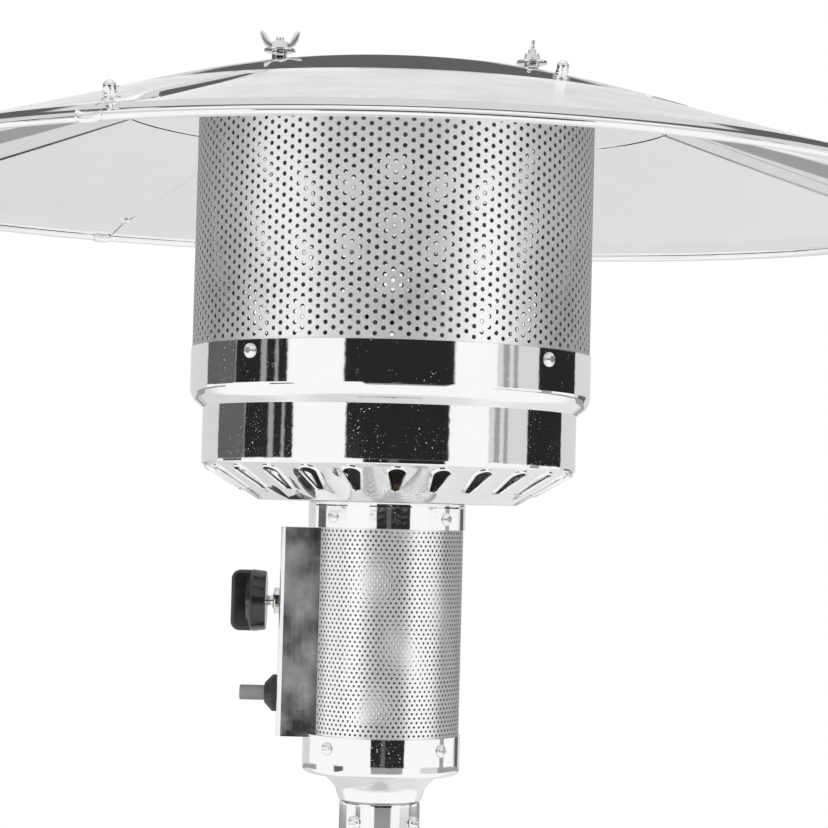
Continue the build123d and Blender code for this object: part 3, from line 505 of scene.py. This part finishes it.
def lip_height(r, t):
    """How far the lip stands off the next panel: flat over the seam, then a ridge beside its folded edge."""
    run_in = min(1.0, max(0.0, (r - 252.0) / 9.0))
    ridge = (2.6 + 1.5 * (r - 255.0) / 107.0) * (1.0 - run_out(r) ** 2) * run_in
    knots = ((0.0, 0.0), (0.45, 0.0), (0.82, 0.72), (0.93, 1.0), (0.975, 0.93), (0.99, 0.55), (1.0, 0.0))
    for (t0, h0), (t1, h1) in zip(knots, knots[1:]):
        if t <= t1:
            return ridge * (h0 + (h1 - h0) * (t - t0) / (t1 - t0))
    return 0.0


LIP_STEPS = (0.0, 0.2, 0.4, 0.5, 0.6, 0.7, 0.8, 0.87, 0.91, 0.935, 0.96, 0.975, 0.985, 0.993, 1.0)


def seam_lip(seam):
    """The lip of one panel that lies over the next, its free edge raised and folded down."""
    radii = [LIP_START + (LIP_TURN - LIP_START) * i / 24 for i in range(25)]
    radii += [LIP_TURN + (LIP_END - LIP_TURN) * i / 8 for i in range(1, 9)]
    run = [(r, cone_z(r) + SHEET_DROP) for r in radii]
    section = sheet(run, SHEET * 0.96)
    verts, faces, count = [], [], len(section)
    for t in LIP_STEPS:
        for r, z in section:
            low, high = beside(seam, -LIP_BACK, r), beside(seam, LIP_REACH - LIP_LOSS * run_out(r) ** 2, r)
            verts.append(at_bearing(r, low * (1 - t) + high * t, z + lip_height(r, t)))
    for c in range(len(LIP_STEPS) - 1):
        for i in range(count):
            j = (i + 1) % count
            faces.append((c * count + i, (c + 1) * count + i, (c + 1) * count + j, c * count + j))
    faces.append(tuple(range(count)))
    faces.append(tuple((len(LIP_STEPS) - 1) * count + i for i in reversed(range(count))))
    return verts, faces


def reflector_panel(number, first_seam, last_seam):
    def first(r):
        return beside(first_seam, -2.0, r)

    def last(r):
        return beside(last_seam, -3.0, r)

    def sleeve_end(r):
        return beside(last_seam, 14.5, r)

    def opened_out(r, t):
        return 1.6 * (2.0 * t - 1.0) ** 4

    body = fan(panel_outline(), first, last, 120)
    # The bead of one panel is opened out below, where the next one's end sits in it
    angles = [math.tau * i / 28 for i in range(28)]
    ring = [BEAD + Vector((0, -0.7)) + Vector((math.cos(a), math.sin(a))) * 3.5 for a in angles]
    sleeve = fan(ring, last, sleeve_end, 12, opened_out)
    shape = joined(body, seam_lip(last_seam), sleeve)

    def on_top(polygon):
        """The cone's upper face, up to the crease."""
        place = polygon.center
        return polygon.normal.z > 0.5 and math.hypot(place.x, place.y) < 0.3815

    upper = REFLECTOR_TOP, on_top
    piece(f"reflector_panel_{number}", settled(shape), "reflector_sheet", REFLECTOR, upper=upper)


def dish_height(radius):
    """A smooth curve through the dish's heights, level at the middle."""
    knots = [(0.0, 2192.0, 0.0), (60.0, 2191.8, -0.015), (102.0, 2189.6, -0.1), (140.0, 2183.8, -0.2),
             (165.0, 2177.5, -0.27), (203.0, cone_z(203.0) + SHEET_DROP, -CONE_SLOPE)]
    for (r0, z0, s0), (r1, z1, s1) in zip(knots, knots[1:]):
        if radius <= r1:
            t = (radius - r0) / (r1 - r0)
            a, b = 2 * t**3 - 3 * t**2 + 1, t**3 - 2 * t**2 + t
            return a * z0 + b * (r1 - r0) * s0 + (1 - a) * z1 + (t**3 - t**2) * (r1 - r0) * s1
    return cone_z(radius) + SHEET_DROP


def reflector_centre():
    top = [(r, dish_height(r)) for r in [203.0 * i / 50 for i in range(50)] + [203.0, 214.0, 225.0, DISH_R]]
    piece("reflector_centre", settled(lathe(sheet(top, SHEET))), "reflector_sheet", REFLECTOR)


def hexagon(across, low, high):
    """A hexagon nut body with softened edges."""
    corner = across / math.sqrt(3)
    outline = [(corner * math.cos(math.tau * i / 6), corner * math.sin(math.tau * i / 6)) for i in range(6)]
    return worked(extruded(outline, low, high), 0.3, 2)


def on_bolts(shape, lift):
    """A shape at every bolt of the reflector: three through the seams, three round the dish."""
    at_seams = turned(placed(shape, on_cone(SEAM_BOLT_R, lift)), *SEAMS)
    return joined(at_seams, turned(placed(shape, on_cone(DISH_BOLT_R, lift)), *DISH_BOLTS))


def acorn_nuts():
    washer = lathe(rounded([(0, 0), (5.6, 0), (5.6, 1.6), (0, 1.6)], 0.4, 3), 40)
    dome = [(0.0, 5.2), (3.9, 5.2), (3.9, 7.6)]
    angles = [math.radians(90 * i / 8) for i in range(1, 9)]
    dome += [(3.9 * math.cos(a), 7.6 + 4.0 * math.sin(a)) for a in angles]
    nut = joined(washer, placed(hexagon(8.0, 0, 4.2), shift(0, 0, 1.4)), lathe(dome, 40))
    piece("acorn_nuts", settled(on_bolts(nut, SHEET)), "fastener_steel", PLATED)


def pan_head(radius, height, slot=1.2, deep=1.1):
    """A low domed head with a driver slot."""
    run = [(0, 0), (radius, 0), (radius, height * 0.45), (radius * 0.55, height), (0, height)]
    edge = rounded(run, [0.2, radius * 0.35, radius * 0.6], 5)
    return worked(lathe(edge, 48), cut=block((3 * radius, slot, 2 * deep), (0, 0, height)))


def shank(radius):
    """The rod of a screw behind its head."""
    return lathe([(0, -5), (radius, -5), (radius, 0.1), (0, 0.1)], 20)


def seam_bolts():
    head = placed(pan_head(4.7, 2.6), spin(180, "X"))
    bolt = joined(head, lathe([(0, -0.1), (2.45, -0.1), (2.45, 7.4), (0, 7.4)], 24))
    piece("seam_bolts", settled(on_bolts(bolt, -SHEET - 0.05)), "fastener_steel", PLATED)


def threaded(radius, low, high, pitch=1.0):
    """A rod with the ridges of its thread, as rings."""
    outline = [(0, low)]
    count = int((high - low) / pitch)
    for i in range(count):
        z = low + i * pitch
        outline += [(radius - 0.45, z), (radius, z + 0.5 * pitch)]
    return lathe(outline + [(radius - 0.45, low + count * pitch), (radius - 0.9, high), (0, high)], 28)


def on_studs(name, shape):
    piece(name, turned(placed(shape, shift(0, -STUD_R)), *STUDS), "fastener_steel", PLATED)


def stud_fittings():
    """The studs with their spacers, washers and wing nuts, which carry the reflector."""
    on_studs("reflector_studs", joined(threaded(3.0, 2160.0, 2208.6), hexagon(10.0, 2163.0, 2168.0)))
    sleeve = lathe([(3.05, 2169.2), (6.0, 2169.2), (6.0, 2187.7), (3.05, 2187.7)], 36)
    on_studs("stud_spacers", joined(sleeve, hexagon(9.4, STUD_FOOT, WASHER_Z)))
    base = WASHER_Z + 1.4
    rim = rounded([(3.05, WASHER_Z), (11.0, WASHER_Z), (11.0, base), (3.05, base)], 0.3, 3)
    on_studs("flange_washers", lathe(rim, 60))
    # A wing sweeps out from the hub and curves up like a horn
    lower = [(3.6, 0.6), (6.0, 0.8), (8.0, 1.4), (10.0, 2.7), (11.6, 4.6), (12.8, 6.8), (13.5, 9.0),
             (13.8, 11.0), (13.8, 12.3)]
    upper = [(13.2, 13.1), (12.3, 13.2), (11.2, 12.6), (10.0, 11.3), (9.0, 9.8), (8.2, 8.2), (7.4, 6.8),
             (6.4, 5.7), (3.6, 5.0)]
    wing = worked(placed(extruded(lower + upper, -1.25, 1.25), spin(90, "X")), 0.8, 3, angle=50.0)
    hub = lathe(rounded([(3.05, 0), (6.0, 0), (4.9, 5.5), (3.05, 5.5)], 0.5, 3), 36)
    nut = joined(hub, wing, placed(wing, spin(180, "Z")))
    nuts = []
    for bearing, turn in zip(STUDS, (54.0, 24.0, 100.0)):
        nuts.append(turned(placed(nut, shift(0, -STUD_R, base) @ spin(turn, "Z")), bearing))
    piece("wing_nuts", joined(*nuts), "fastener_steel", SCREW)


seam_before = SEAMS[-1] - 360.0
for panel_number, seam_after in enumerate(SEAMS, 1):
    reflector_panel(panel_number, seam_before, seam_after)
    seam_before = seam_after
reflector_centre()
acorn_nuts()
seam_bolts()
stud_fittings()


# Perforated sheets

def perforated(radius, thick, low, high, per_turn, row, hole, start, columns, first_row, rows):
    """A sheet cylinder with staggered rows of round holes, each in its own six-sided cell."""
    half = math.tau * radius / per_turn / 2
    mean = (half * half + row * row) / 2
    if row < half:
        (ax, _), (bx, by), (_, cy) = (mean / half, 0), ((mean - row * row) / half, row), (0, row)
    else:
        (ax, _), (bx, by), (_, cy) = (half, 0), (half, (mean - half * half) / row), (0, mean / row)
    outer = [(ax, 0), (bx, by), (0, cy), (-bx, by), (-ax, 0), (-bx, -by), (0, -cy), (bx, -by)]
    inner = [(hole * math.cos(math.tau * i / 8), hole * math.sin(math.tau * i / 8)) for i in range(8)]
    verts, faces, seen = [], [], {}
    whole = columns == per_turn
    left, right = -half, (2 * columns - 1) * half

    def at(u, z, deep):
        turn = u / half
        if whole:
            turn %= 2 * per_turn
        key = (round(turn, 3), round(z, 3), deep)
        if whole and key[0] == 2 * per_turn:
            key = (0.0, key[1], deep)
        if key not in seen:
            seen[key] = len(verts)
            verts.append(at_bearing(radius - (thick if deep else 0.0), start + math.pi * turn / per_turn, z))
        return seen[key]

    def open_edges():
        """The edges that belong to one face only, with their places on the sheet."""
        count = {}
        for face in faces:
            for a, b in zip(face, face[1:] + face[:1]):
                key = (min(a, b), max(a, b))
                count[key] = count.get(key, 0) + 1
        where = {index: key for key, index in seen.items()}
        return [(a, b, where[a], where[b]) for (a, b), uses in count.items() if uses == 1]

    for j in range(rows):
        z = first_row + j * row
        short = 0 if whole else j % 2
        for i in range(columns - short):
            u = (2 * i + j % 2) * half
            for k in range(8):
                m = (k + 1) % 8
                quad = outer[k], outer[m], inner[m], inner[k]
                ring = [[at(u + p[0], z + p[1], deep) for p in quad] for deep in (0, 1)]
                faces.append(tuple(ring[0]))
                faces.append(tuple(reversed(ring[1])))
                faces.append((ring[0][3], ring[0][2], ring[1][2], ring[1][3]))
        if short:
            # Half a cell without a hole fills each end of a short row
            for side, inside in ((left, left + half), (right, right - half)):
                for deep in (0, 1):
                    run = [(side, z - cy), (inside, z - by), (inside, z), (inside, z + by), (side, z + cy)]
                    faces.append(tuple(at(u, y, deep) for u, y in run))
    # The plain margins: open edges of the pattern are drawn out to the sheet's straight edges
    middle = first_row + 0.5 * rows * row
    for a, b, (ta, za, deep), (tb, zb, other_deep) in open_edges():
        if deep != other_deep or abs(ta - tb) < 1e-3:
            continue
        ua, ub = ta * half, tb * half
        if whole and abs(ua - ub) > 10 * half:
            # The edge that crosses the start of the turn
            ua, ub = (ua + 2 * per_turn * half, ub) if ua < ub else (ua, ub + 2 * per_turn * half)
        end = low if 0.5 * (za + zb) < middle else high
        faces.append((a, b, at(ub, end, deep), at(ua, end, deep)))
    # The rims join the outer and inner faces along every edge that is still open
    for a, b, here, there in open_edges():
        if not here[2] and not there[2]:
            faces.append((a, b, seen[(*there[:2], 1)], seen[(*here[:2], 1)]))
    return verts, faces


def inside(polygon):
    """A face of a perforated sheet that doesn't face outward."""
    place = Vector((polygon.center.x, polygon.center.y, 0.0))
    return polygon.normal.dot(place.normalized()) < 0.5


def emitter_screen():
    shape = perforated(141.4, SHEET, 1989.0, 2168.0, 80, 3.54, 1.62, 0.0, 80, 1998.6, 47)
    piece("emitter_screen", shape, "emitter_steel", SCREEN, sharp=40.0, upper=(DARKER_INSIDE, inside))
    rim = rounded([(0, 2168.0), (139.0, 2168.0), (139.0, 2159.0)], 1.5)
    top = rounded([(0, 2169.2), (141.4, 2169.2), (141.4, 2168.0), (140.4, 2168.0), (140.4, 2159.0)], 0.6, 3)
    piece("emitter_top_plate", lathe(top + rim[::-1]), "emitter_steel", SCREEN)


def perforated_cover():
    radius, pitch = 54.55, 3.75
    per_turn = round(math.tau * radius / pitch)
    first = math.radians(-55.0)
    shape = perforated(radius, SHEET, 1716.0, 1880.0, per_turn, 3.04, 0.9, first, 75, 1728.5, 48)
    piece("perforated_cover", shape, "perforated_steel", COVER, sharp=40.0, upper=(DARKER_INSIDE, inside))


emitter_screen()
perforated_cover()


# Cans

CAN_SCREWS = (-41.5, 48.5, 138.5, 228.5)


def upper_can():
    # Each wall has a point just above its rounded edge, so that its shading stays level down to there
    wall = [(142.2, 1995.0), (142.2, 1970.7), (142.2, 1964.6), (139.9, 1958.6), (133.8, 1953.5)]
    shape = lathe(sheet(rounded(wall, [0, 12.0, 8.0], 10), SHEET), 360)
    piece("upper_can", shape, "polished_steel", POLISHED)
    screw = placed(joined(pan_head(4.9, 2.6), shank(2.0)), outward(142.2, 1987.5))
    piece("can_screws", turned(screw, *CAN_SCREWS), "fastener_steel", SCREW)


FOLD_Z, FOOT_R, FOOT_Z, LOWER_R = 1913.5, 92.0, 1889.0, 132.8
SLOTS = 26
SLOT_FIRST = 2.7


def teardrop(grow, points):
    """The outline of an air slot down the slope: x along the slope from the fold, y across it."""
    wide_at, wide_r, length, narrow_r = 9.5, 5.5 + grow, 19.9, 2.7 + grow
    lean = math.acos((wide_r - narrow_r) / length)
    out = []
    for i in range(points):
        a = math.pi - math.tau * i / points
        if abs(a) > lean:
            # The wide end has most of the turn, and the flanks are the straight lines between the ends
            out.append((wide_at + wide_r * math.cos(a), wide_r * math.sin(a)))
        else:
            out.append((wide_at + length + narrow_r * math.cos(a), narrow_r * math.sin(a)))
    return out


def cone_floor(low, high):
    """The slotted part of the cone under the lower can: one sector with a lipped slot, repeated round."""
    slope = math.hypot(LOWER_R - FOOT_R, FOLD_Z - FOOT_Z)
    drop = Vector(((FOOT_R - LOWER_R) / slope, (FOOT_Z - FOLD_Z) / slope))
    normal = Vector((-drop.y, drop.x))
    pitch = math.tau / SLOTS
    points = 48
    # Rings from the sector's edge to the slot: how far outside the slot's edge, and how high off the cone
    rings = [(2.3, 0.0), (2.0, 0.15), (1.65, 0.8), (1.25, 1.4), (0.8, 1.65), (0.4, 1.6), (0.1, 1.2),
             (0.0, 0.6), (0.0, -SHEET)]
    middle = 19.0

    def at(x, y, lift, bearing):
        radius, height = LOWER_R + drop.x * x, FOLD_Z + drop.y * x
        return at_bearing(radius + normal.x * lift, bearing + y / radius, height + normal.y * lift)

    def border(way):
        """Where a direction from the sector's middle meets its border, whose sides lean in down the cone."""
        best = 1e9
        for target in (low - middle, high - middle):
            if target * way.x > 0:
                best = min(best, target / way.x)
        for sign in (-1, 1):
            under = sign * way.y - pitch / 2 * drop.x * way.x
            if under > 1e-6:
                best = min(best, pitch / 2 * (LOWER_R + drop.x * middle) / under)
        return Vector((middle, 0.0)) + way * best

    rim = [border(Vector((x - middle, y))) for x, y in teardrop(2.3, points)]
    # The border point nearest to each corner is moved into it, so that neighbours leave no gap
    for x in (low, high):
        for sign in (-1, 1):
            corner = Vector((x, sign * pitch / 2 * (LOWER_R + drop.x * x)))
            nearest = min(range(points), key=lambda i: (rim[i] - corner).length)
            rim[nearest] = corner
    verts, faces = [], []
    for s in range(SLOTS):
        bearing = math.radians(SLOT_FIRST) + pitch * s
        base = len(verts)
        verts += [at(x, y, 0.0, bearing) for x, y in rim]
        for grow, lift in rings:
            verts += [at(x, y, lift, bearing) for x, y in teardrop(grow, points)]
        verts += [at(x, y, -SHEET, bearing) for x, y in rim]
        last = base + (len(rings) + 1) * points
        for i in range(points):
            j = (i + 1) % points
            for a in range(base, last, points):
                faces.append((a + i, a + j, a + points + j, a + points + i))
            for x in (low, high):
                if abs(rim[i].x - x) < 1e-6 and abs(rim[j].x - x) < 1e-6:
                    faces.append((base + i, base + j, last + j, last + i))
    return (verts, faces), drop


def lower_can():
    low, high = 1.8, math.hypot(LOWER_R - FOOT_R, FOLD_Z - FOOT_Z) - 1.2
    slotted, drop = cone_floor(low, high)
    # The wall above the sectors, and the floor inside them, end in the sectors' borders
    fold = Vector((LOWER_R, FOLD_Z)) + drop * low
    foot = Vector((LOWER_R, FOLD_Z)) + drop * high
    wall = rounded([(LOWER_R, 1962.0), (LOWER_R, FOLD_Z + 4.0), (LOWER_R, FOLD_Z), tuple(fold)], [0, 3.0], 8)
    floor = rounded([tuple(foot), (FOOT_R, FOOT_Z), (40.0, FOOT_Z)], 1.1, 4)
    shape = joined(slotted, lathe(sheet(wall, SHEET), 360), lathe(sheet(floor, SHEET), 240))
    piece("lower_can", shape, "polished_steel", POLISHED)


upper_can()
lower_can()


# Control housing

COLLAR_SCREWS = (-42.0, 48.0, 138.0)
PANEL_X, KNOB_Z, IGNITER_Z = -74.0, 1817.4, 1752.3


def collars():
    upper = rounded([(55.75, 1870.5), (55.75, 1885.5), (55.75, 1889.0), (40.0, 1889.0)], [0, 1.5], 5)
    piece("upper_collar", lathe(sheet(upper, -1.2)), "polished_steel", POLISHED)
    run = [(55.75, 1726.0), (55.75, 1707.6), (55.75, 1698.2), (42.0, 1698.2), (32.1, 1688.7), (29.0, 1679.7)]
    cup = rounded(run, [0, 4.5, 6.0, 10.0], 8)
    piece("lower_collar", lathe(sheet(cup, 1.2)), "polished_steel", POLISHED)
    screw = joined(pan_head(4.5, 2.5), shank(2.0))
    both = [placed(screw, outward(55.75, z)) for z in (1878.0, 1717.7)]
    piece("collar_screws", turned(joined(*both), *COLLAR_SCREWS), "fastener_steel", SCREW)


def control_box():
    """The folded box: a front panel with wide bends and two side walls, and a lid."""
    run = [(-40.0, 24.5), (PANEL_X, 24.5), (PANEL_X, -24.5), (-40.0, -24.5)]
    outline = sheet(rounded(run, 3.6, 8), -1.0)
    lid = block((30.0, 47.2, 1.0), (-58.2, 0, 1869.5))
    hole = joined(placed(lathe([(0, -4), (5.3, -4), (5.3, 4), (0, 4)], 40), along_x(PANEL_X, KNOB_Z)),
                  placed(lathe([(0, -4), (8.2, -4), (8.2, 4), (0, 4)], 40), along_x(PANEL_X, IGNITER_Z)))
    # The walls reach down in front of the lower collar and are cut back round it
    collar_room = lathe([(0, 1720), (56.4, 1720), (56.4, 1726.6), (0, 1726.6)], 96)
    shell = worked(worked(extruded(outline, 1724.0, 1870.0), cut=hole), cut=collar_room)
    piece("control_box", joined(shell, lid), "polished_steel", POLISHED_BOX)


def knob():
    """The knob: a round dished body with a tall rounded grip bar across it."""
    rim = rounded([(3.6, 0), (20.8, 0), (22.0, 10.5), (17.5, 14.0), (0, 14.0)], [1.2, 2.5, 2.0], 6)
    base = lathe(rim + [Vector((0, 12.0)), Vector((3.6, 12.0))], 96)
    side = rounded([(-21.5, 4.0), (-21.5, 25.0), (21.5, 25.0), (21.5, 4.0)], 6.5, 8)
    grip = worked(placed(extruded(side, -5.5, 5.5), spin(90, "X")), 2.4, 4)
    place = along_x(PANEL_X - 10.0, KNOB_Z)
    piece("knob", placed(joined(base, grip), place), "knob_plastic", GLOSS_BLACK, body="knob")
    spindle = worked(lathe([(0, 0), (3.5, 0), (3.5, 43.0), (0, 43.0)], 40), 0.4, 2)
    piece("valve_spindle", placed(spindle, along_x(-51.5, KNOB_Z)), "fastener_steel", PLATED, body="knob")


def igniter():
    nut = rounded([(8.1, 0), (13.0, 0), (13.0, 4.0), (7.0, 9.6), (5.5, 9.6)], [0.5, 0.9, 0.6], 5)
    cone = lathe(nut + [Vector((5.5, 8.2)), Vector((8.1, 8.2))], 80)
    piece("igniter_nut", placed(cone, along_x(PANEL_X, IGNITER_Z)), "black_plastic", SATIN_BLACK)
    tip = rounded([(0, 0), (5.3, 0), (5.3, 33.3), (0, 33.3)], [0.4, 1.0], 5)
    button = placed(lathe(tip, 56), along_x(PANEL_X + 6.0, IGNITER_Z))
    piece("igniter_button", button, "button_plastic", GREY_PLASTIC, body="igniter_button")
    corners = [(9.41 * math.cos(math.tau * i / 6), 9.41 * math.sin(math.tau * i / 6)) for i in range(6)]
    ring = worked(extruded(corners, 0, 4.5), 0.4, 3, cut=lathe([(0, -1), (5.2, -1), (5.2, 6), (0, 6)], 40))
    piece("spindle_nut", placed(ring, along_x(PANEL_X, KNOB_Z)), "fastener_steel", PLATED)


collars()
control_box()
knob()
igniter()


# Post and stand

def post():
    wall = [(27.3, 732.0), (28.5, 732.0), (28.5, 1676.5), (28.5, 1678.5), (27.3, 1678.5)]
    piece("post", lathe(rounded(wall, [0, 0, 0.5], 3), 160), "polished_steel", TUBE)
    screw = placed(joined(pan_head(4.8, 4.0), shank(2.5)), outward(28.5, 1665.0))
    piece("post_screws", turned(screw, -37.0, 55.0, 143.0, 235.0), "fastener_steel", SCREW)


def tank_cover():
    wall = [(197.0, 786.0), (197.0, 62.3), (196.2, 62.3), (196.2, 786.0)]
    piece("tank_cover", lathe(wall, 240), "polished_steel", BRUSHED, body="tank_cover")
    run = [(197.8, 772.0), (197.8, 786.8), (31.3, 800.0), (31.3, 810.0)]
    cap = lathe(sheet(rounded(run, [2.5, 4.0], 6), -SHEET))
    piece("tank_cover_cap", cap, "polished_steel", BRUSHED, body="tank_cover")


def base():
    wall = [(0, 62.0), (200.0, 62.0), (212.0, 54.0), (230.0, 6.0)]
    piece("base_pan", lathe(sheet(rounded(wall, [8.0, 8.0], 6), 1.2)), "polished_steel", BRUSHED)


post()
tank_cover()
base()


# CAD nodes whose shape is right, with their finish

DRESSED = {
    ZINC: ("inner_frame", "post_mount", "post_spigot", "support_leg_1", "support_leg_2", "support_leg_3",
           "wheel_bracket"),
    BURNT: ("burner_plate", "burner_drum", "mixer_tube", "pilot_burner", "thermocouple"),
    BRASS: ("gas_valve", "gas_jet", "thrust_collar"),
    ALUMINIUM: ("gas_pipe",),
    PLATED: ("collar_bolts", "mount_bolts", "leg_bolts", "wheel_axle"),
    SATIN_BLACK: ("igniter_body", "tilt_switch", "wheel_left", "wheel_right"),
    CERAMIC: ("spark_electrode",),
    MOULDED: ("ballast",),
    RUBBER: ("base_feet",),
}
for finish, names in DRESSED.items():
    for name in names:
        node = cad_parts[name]
        node.data.materials.clear()
        node.data.materials.append(finish)


# Studio

def make_floor():
    """A white floor. What the polished parts mirror of it ends in a dark line far behind the heater."""
    mesh = bpy.data.meshes.new("floor")
    mesh.from_pydata([(-8, -7.2, 0), (8, -7.2, 0), (8, 7.27, 0), (-8, 7.27, 0)], [], [(0, 1, 2, 3)])
    floor = bpy.data.objects.new("floor", mesh)
    bpy.context.scene.collection.objects.link(floor)
    material = bpy.data.materials.new("floor")
    material.use_nodes = True
    n = Nodes(material.node_tree)
    place = n.add("ShaderNodeTexCoord").outputs["Object"]
    far = n.add("ShaderNodeVectorMath", {0: place}, operation="LENGTH").outputs["Value"]
    parts = n.add("ShaderNodeSeparateXYZ", {0: place})
    paper = n.add("ShaderNodeBsdfDiffuse", {"Color": (0.86, 0.86, 0.86, 1.0)})
    white = n.add("ShaderNodeEmission", {"Color": (1, 1, 1, 1), "Strength": 1.0})
    fade = n.ramp(far, 0.7, 3.5, 0.0, 1.0, smooth=True)
    mix = n.add("ShaderNodeMixShader", {0: fade, 1: paper.outputs[0], 2: white.outputs[0]})
    dark = n.ramp(parts.outputs[0], -0.3, 0.5, 0.03, 0.55)
    line = mixed(n, n.ramp(parts.outputs[1], 7.00, 7.03, 0.0, 1.0), 1.0, dark)
    behind = n.math("MULTIPLY", n.ramp(parts.outputs[0], -1.2, 1.2, 0.71, 0.82), line)
    # It is white in front and at the sides, and grey behind and close round the base
    facing = n.math("DIVIDE", n.math("MULTIPLY", parts.outputs[1], -1.0), far)
    aside = n.ramp(facing, -0.70, -0.42, 0.0, 1.0, smooth=True)
    front = n.math("MINIMUM", aside, n.ramp(far, 0.6, 1.5, 0.0, 1.0, smooth=True))
    tone = mixed(n, front, behind, 1.0)
    mirrored = n.add("ShaderNodeEmission", {"Color": (1, 1, 1, 1), "Strength": tone})
    glossy = n.add("ShaderNodeLightPath").outputs["Is Glossy Ray"]
    both = n.add("ShaderNodeMixShader", {0: glossy, 1: mix.outputs[0], 2: mirrored.outputs[0]})
    n.add("ShaderNodeOutputMaterial", {0: both.outputs[0]})
    mesh.materials.append(material)


# What the polished parts mirror is a white studio with plain cards in it, as a photographer would stand them.
BLACK, CHARCOAL, GREY, PALE, WHITE = 0.02, 0.12, 0.35, 0.70, 1.0
# How many degrees a card's sides take to fade out, and its ends, when it hangs low or high
CARD_SIDE, LOW_CARD_END, HIGH_CARD_END = 0.8, 0.2, 1.0
HIGH_CARD = 16
# A card's first and last bearing in degrees (0 at the camera), its lowest and highest elevation, and its tone
CARDS = (
    (-190, -128, -60, 16, PALE),
    (130, 190, -60, 16, PALE),
    (-128, -98, 0.4, 16, CHARCOAL),
    (-98, -60, 0.4, 16, BLACK),
    (-78, -74, 0.4, 16, GREY),
    (-68, -66, 0.4, 16, GREY),
    (-26, 36, 0.4, 16, BLACK),
    (62, 92, 0.4, 16, PALE),
    (66, 70, 0.4, 16, GREY),
    (73, 76, 0.4, 16, GREY),
    (92, 130, 0.4, 16, BLACK),
    (-15, 34, -7, 0.4, BLACK),
    (0, 6, -7, 0.4, CHARCOAL),
    (-120, -100, -1.2, 0.4, CHARCOAL),
    (95, 104, -7, 0.4, GREY),
    (136, 152, -7, 0.4, CHARCOAL),
    (-190, -108, -12, -7, GREY),
    (-72, -56, -60, -7, CHARCOAL),
    (-14, 32, -60, -7, GREY),
    (60, 92, -60, -7, PALE),
    (92, 190, -12, -7, GREY),
    (-190, -108, 16, 30, CHARCOAL),
    (-108, 108, 16, 30, PALE),
    (108, 190, 16, 30, CHARCOAL),
    (-190, 190, 30, 56, PALE),
)


def make_world():
    world = bpy.data.worlds.new("studio")
    bpy.context.scene.world = world
    world.use_nodes = True
    n = Nodes(world.node_tree)
    way = n.add("ShaderNodeTexCoord").outputs["Generated"]
    parts = n.add("ShaderNodeSeparateXYZ", {0: way})
    rise = n.math("MULTIPLY", n.math("ARCSINE", parts.outputs[2]), 180.0 / math.pi)
    bearing = bearing_of(n, way)
    shade = WHITE
    for first, last, low, high, tone in CARDS:
        across = between(n, bearing, first, last, CARD_SIDE)
        upward = between(n, rise, low, high, LOW_CARD_END if high <= HIGH_CARD else HIGH_CARD_END)
        shade = mixed(n, n.math("MULTIPLY", across, upward), shade, tone)
    rays = n.add("ShaderNodeLightPath").outputs
    seen = n.math("MAXIMUM", rays["Is Glossy Ray"], rays["Is Transmission Ray"])
    room = mixed(n, seen, 0.82, shade)
    strength = mixed(n, rays["Is Camera Ray"], room, 1.0)
    background = n.add("ShaderNodeBackground", {"Color": (1, 1, 1, 1), "Strength": strength})
    n.add("ShaderNodeOutputWorld", {0: background.outputs[0]})


# A lamp's name, place in metres, size and power
LAMPS = (
    ("key", (-1.6, -2.2, 3.4), 1.6, 24.0),
    ("fill", (2.4, -1.4, 2.2), 1.8, 6.0),
    ("left", (-1.6, -2.7, 1.6), 1.4, 14.0),
    ("right", (1.6, -2.7, 1.6), 1.4, 14.0),
)


def make_lamps():
    for name, place, size, power in LAMPS:
        data = bpy.data.lights.new(name, "AREA")
        data.size, data.energy = size, power
        lamp = bpy.data.objects.new(name, data)
        bpy.context.scene.collection.objects.link(lamp)
        lamp.location = place
        lamp.rotation_euler = (Vector((0, 0, 1.6)) - Vector(place)).to_track_quat("-Z", "Y").to_euler()
        lamp.visible_glossy = False


make_floor()
make_world()
make_lamps()
